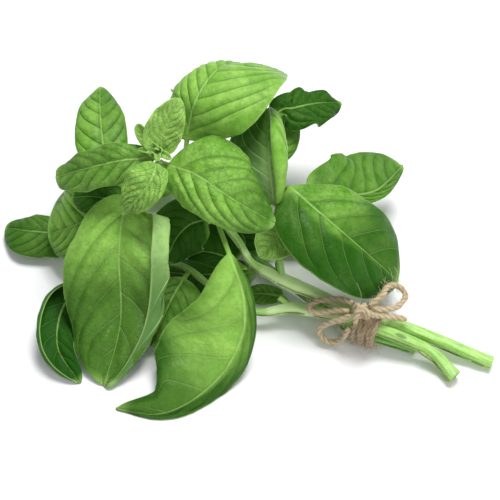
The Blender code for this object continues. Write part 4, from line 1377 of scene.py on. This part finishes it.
    def fibre(self, line: np.ndarray, tangents: np.ndarray, chance: np.random.Generator) -> np.ndarray:
        """Draws one fibre's places at random, from the strand's line outwards."""
        start = chance.integers(2, len(line) - 2)
        outward = unit(np.cross(tangents[start], chance.normal(size=3)))
        along = tangents[start] * chance.choice((-1, 1)) * chance.uniform(0.4, 1.2)
        curl = chance.normal(size=3) * 0.5
        length = chance.uniform(1.2, 3.4)
        lift = chance.choice((0.1, 0.16, 0.5))
        share = np.linspace(0, 1, self.fibre_steps)[:, None]
        return (line[start] + outward * (0.85 * self.radius + length * lift * share)
                + along * length * share + curl * length * share**2)

    def fibres(self) -> None:
        """Builds the loose fibres that stand out of the twine."""
        chance = np.random.default_rng(5)
        bow = 1.2 * np.sin(np.linspace(0, 3, self.fibre_steps))[:, None] * np.array((0.6, -0.3, 0.7))
        drawn = [np.linspace(start, end, self.fibre_steps) + bow for start, end in self.WISPS]
        for line in [*(smooth_route(route, 200) for route in self.ROUTES.values()),
                     *(self.turn_line(turn, 0.0) for turn in range(self.turns))]:
            tangents = unit(np.gradient(line, axis=0))
            count = int(route_length(line) * self.fibres_per_mm)
            drawn += [self.fibre(line, tangents, chance) for _ in range(count)]

        data = bpy.data.curves.new("twine_fibres", "CURVE")
        data.dimensions = "3D"
        data.bevel_depth = self.fibre_radius * MM
        data.bevel_resolution = 0
        data.use_fill_caps = True
        for places in drawn:
            spline = data.splines.new("POLY")
            spline.points.add(len(places) - 1)
            for point, place in zip(spline.points, to_frame(np.maximum(places, (-np.inf, -np.inf, 0.1)))):
                point.co = (*place, 1)
        piece = bake(link("fibre_lines", data), "twine_fibres")
        piece.data.materials.clear()
        piece.data.materials.append(self.jute)
        add_vectors(piece.data, "twine_groove_shade", 0, 0, 0)
        if not piece.data.uv_layers:
            add_uv(piece.data, np.zeros((len(piece.data.vertices), 2)))
        settle(piece, Slot.TWINE)

    def build(self) -> None:
        """Builds every piece of the twine."""
        self.bow()
        self.wraps()
        self.knot()
        self.fibres()


@dataclass
class Studio:
    """The pale floor, the soft lights and the camera. Places are in layout millimetres."""

    focal: float = 85.0
    sensor: float = 36.0
    distance: float = 500.0
    elevation: float = 50.0
    aim: Point = (0.0, 0.0, 20.0)
    sky: float = 0.33
    sky_white: Colour = (0.97, 0.98, 1.0)
    floor_size: float = 3.0
    floor_drop: float = 0.0002

    def camera(self) -> None:
        """Sets the camera at the photograph's viewing angle."""
        lens = bpy.data.cameras.new("camera")
        lens.lens = self.focal
        lens.sensor_width = self.sensor
        lens.clip_start = 0.01
        up = math.radians(self.elevation)
        eye = np.array(self.aim) + self.distance * np.array((0, -math.cos(up), math.sin(up)))
        camera = link("camera", lens)
        camera.location = to_frame(eye[None])[0]
        camera.rotation_euler = (math.pi / 2 - up, 0, TURN)
        bpy.context.scene.camera = camera

    def lamp(self, name: str, place: Point, size: float, power: float) -> None:
        """Adds a soft square light that faces the bunch.

        Args:
            name: The light's name.
            place: Where it is.
            size: Its side, in metres.
            power: Its power, in watts.
        """
        data = bpy.data.lights.new(name, "AREA")
        data.size = size
        data.energy = power
        lamp = link(name, data)
        start, end = to_frame(np.array([place, self.aim]))
        towards = end - start
        lamp.location = start
        lamp.rotation_euler = (math.acos(-towards[2] / np.linalg.norm(towards)), 0,
                               math.atan2(towards[1], towards[0]) - math.pi / 2)

    def floor(self, finish: bpy.types.Material) -> None:
        """Adds the floor, a hair under the bunch."""
        made = bmesh.new()
        bmesh.ops.create_grid(made, x_segments=2, y_segments=2, size=self.floor_size)
        mesh = bpy.data.meshes.new("floor")
        made.to_mesh(mesh)
        made.free()
        mesh.materials.append(finish)
        floor = link("floor", mesh)
        floor.location.z = -self.floor_drop

    def world(self) -> None:
        """Sets an even white sky."""
        world = bpy.data.worlds.new("sky")
        world.use_nodes = True
        background = world.node_tree.nodes["Background"]
        background.inputs["Color"].default_value = (*self.sky_white, 1.0)
        background.inputs["Strength"].default_value = self.sky
        bpy.context.scene.world = world

    def build(self) -> None:
        """Builds the whole studio."""
        bpy.context.scene.view_settings.view_transform = "Standard"
        self.floor(FloorFinish().make())
        self.world()
        self.lamp("key", (140, 260, 930), 0.45, 9.6)
        self.lamp("front", (-250, -700, 750), 0.8, 1.0)
        self.lamp("side", (600, -620, 330), 0.3, 2.6)
        self.camera()


def main() -> None:
    """Builds the studio and the bunch, in order."""
    logging.basicConfig(level=logging.INFO)
    Studio().build()
    jute = TwineFinish("jute").make()
    # Darker jute for the turns round the stems.
    darker_jute = TwineFinish("jute_darker", (0.62, 0.48, 0.30), (0.40, 0.29, 0.16), (0.16, 0.105, 0.05)).make()
    Twine(jute, darker_jute).build()
    Stems(StemFinish().make(), CutFinish().make()).build()
    upper = LeafFinish("basil_leaf", deep=(0.008, 0.07, 0.001), body=(0.12, 0.34, 0.02),
                       crest=(0.335, 0.605, 0.115), vein=(0.42, 0.67, 0.18)).make()
    under = LeafFinish("basil_leaf_under", deep=(0.03, 0.12, 0.012), body=(0.27, 0.49, 0.12),
                       crest=(0.42, 0.65, 0.22), vein=(0.48, 0.70, 0.28), roughness=0.6, specular=0.25,
                       vein_share=0.6, relief=-0.7).make()
    Foliage(Sheets(upper, under)).build()


if __name__ == "__main__":
    main()
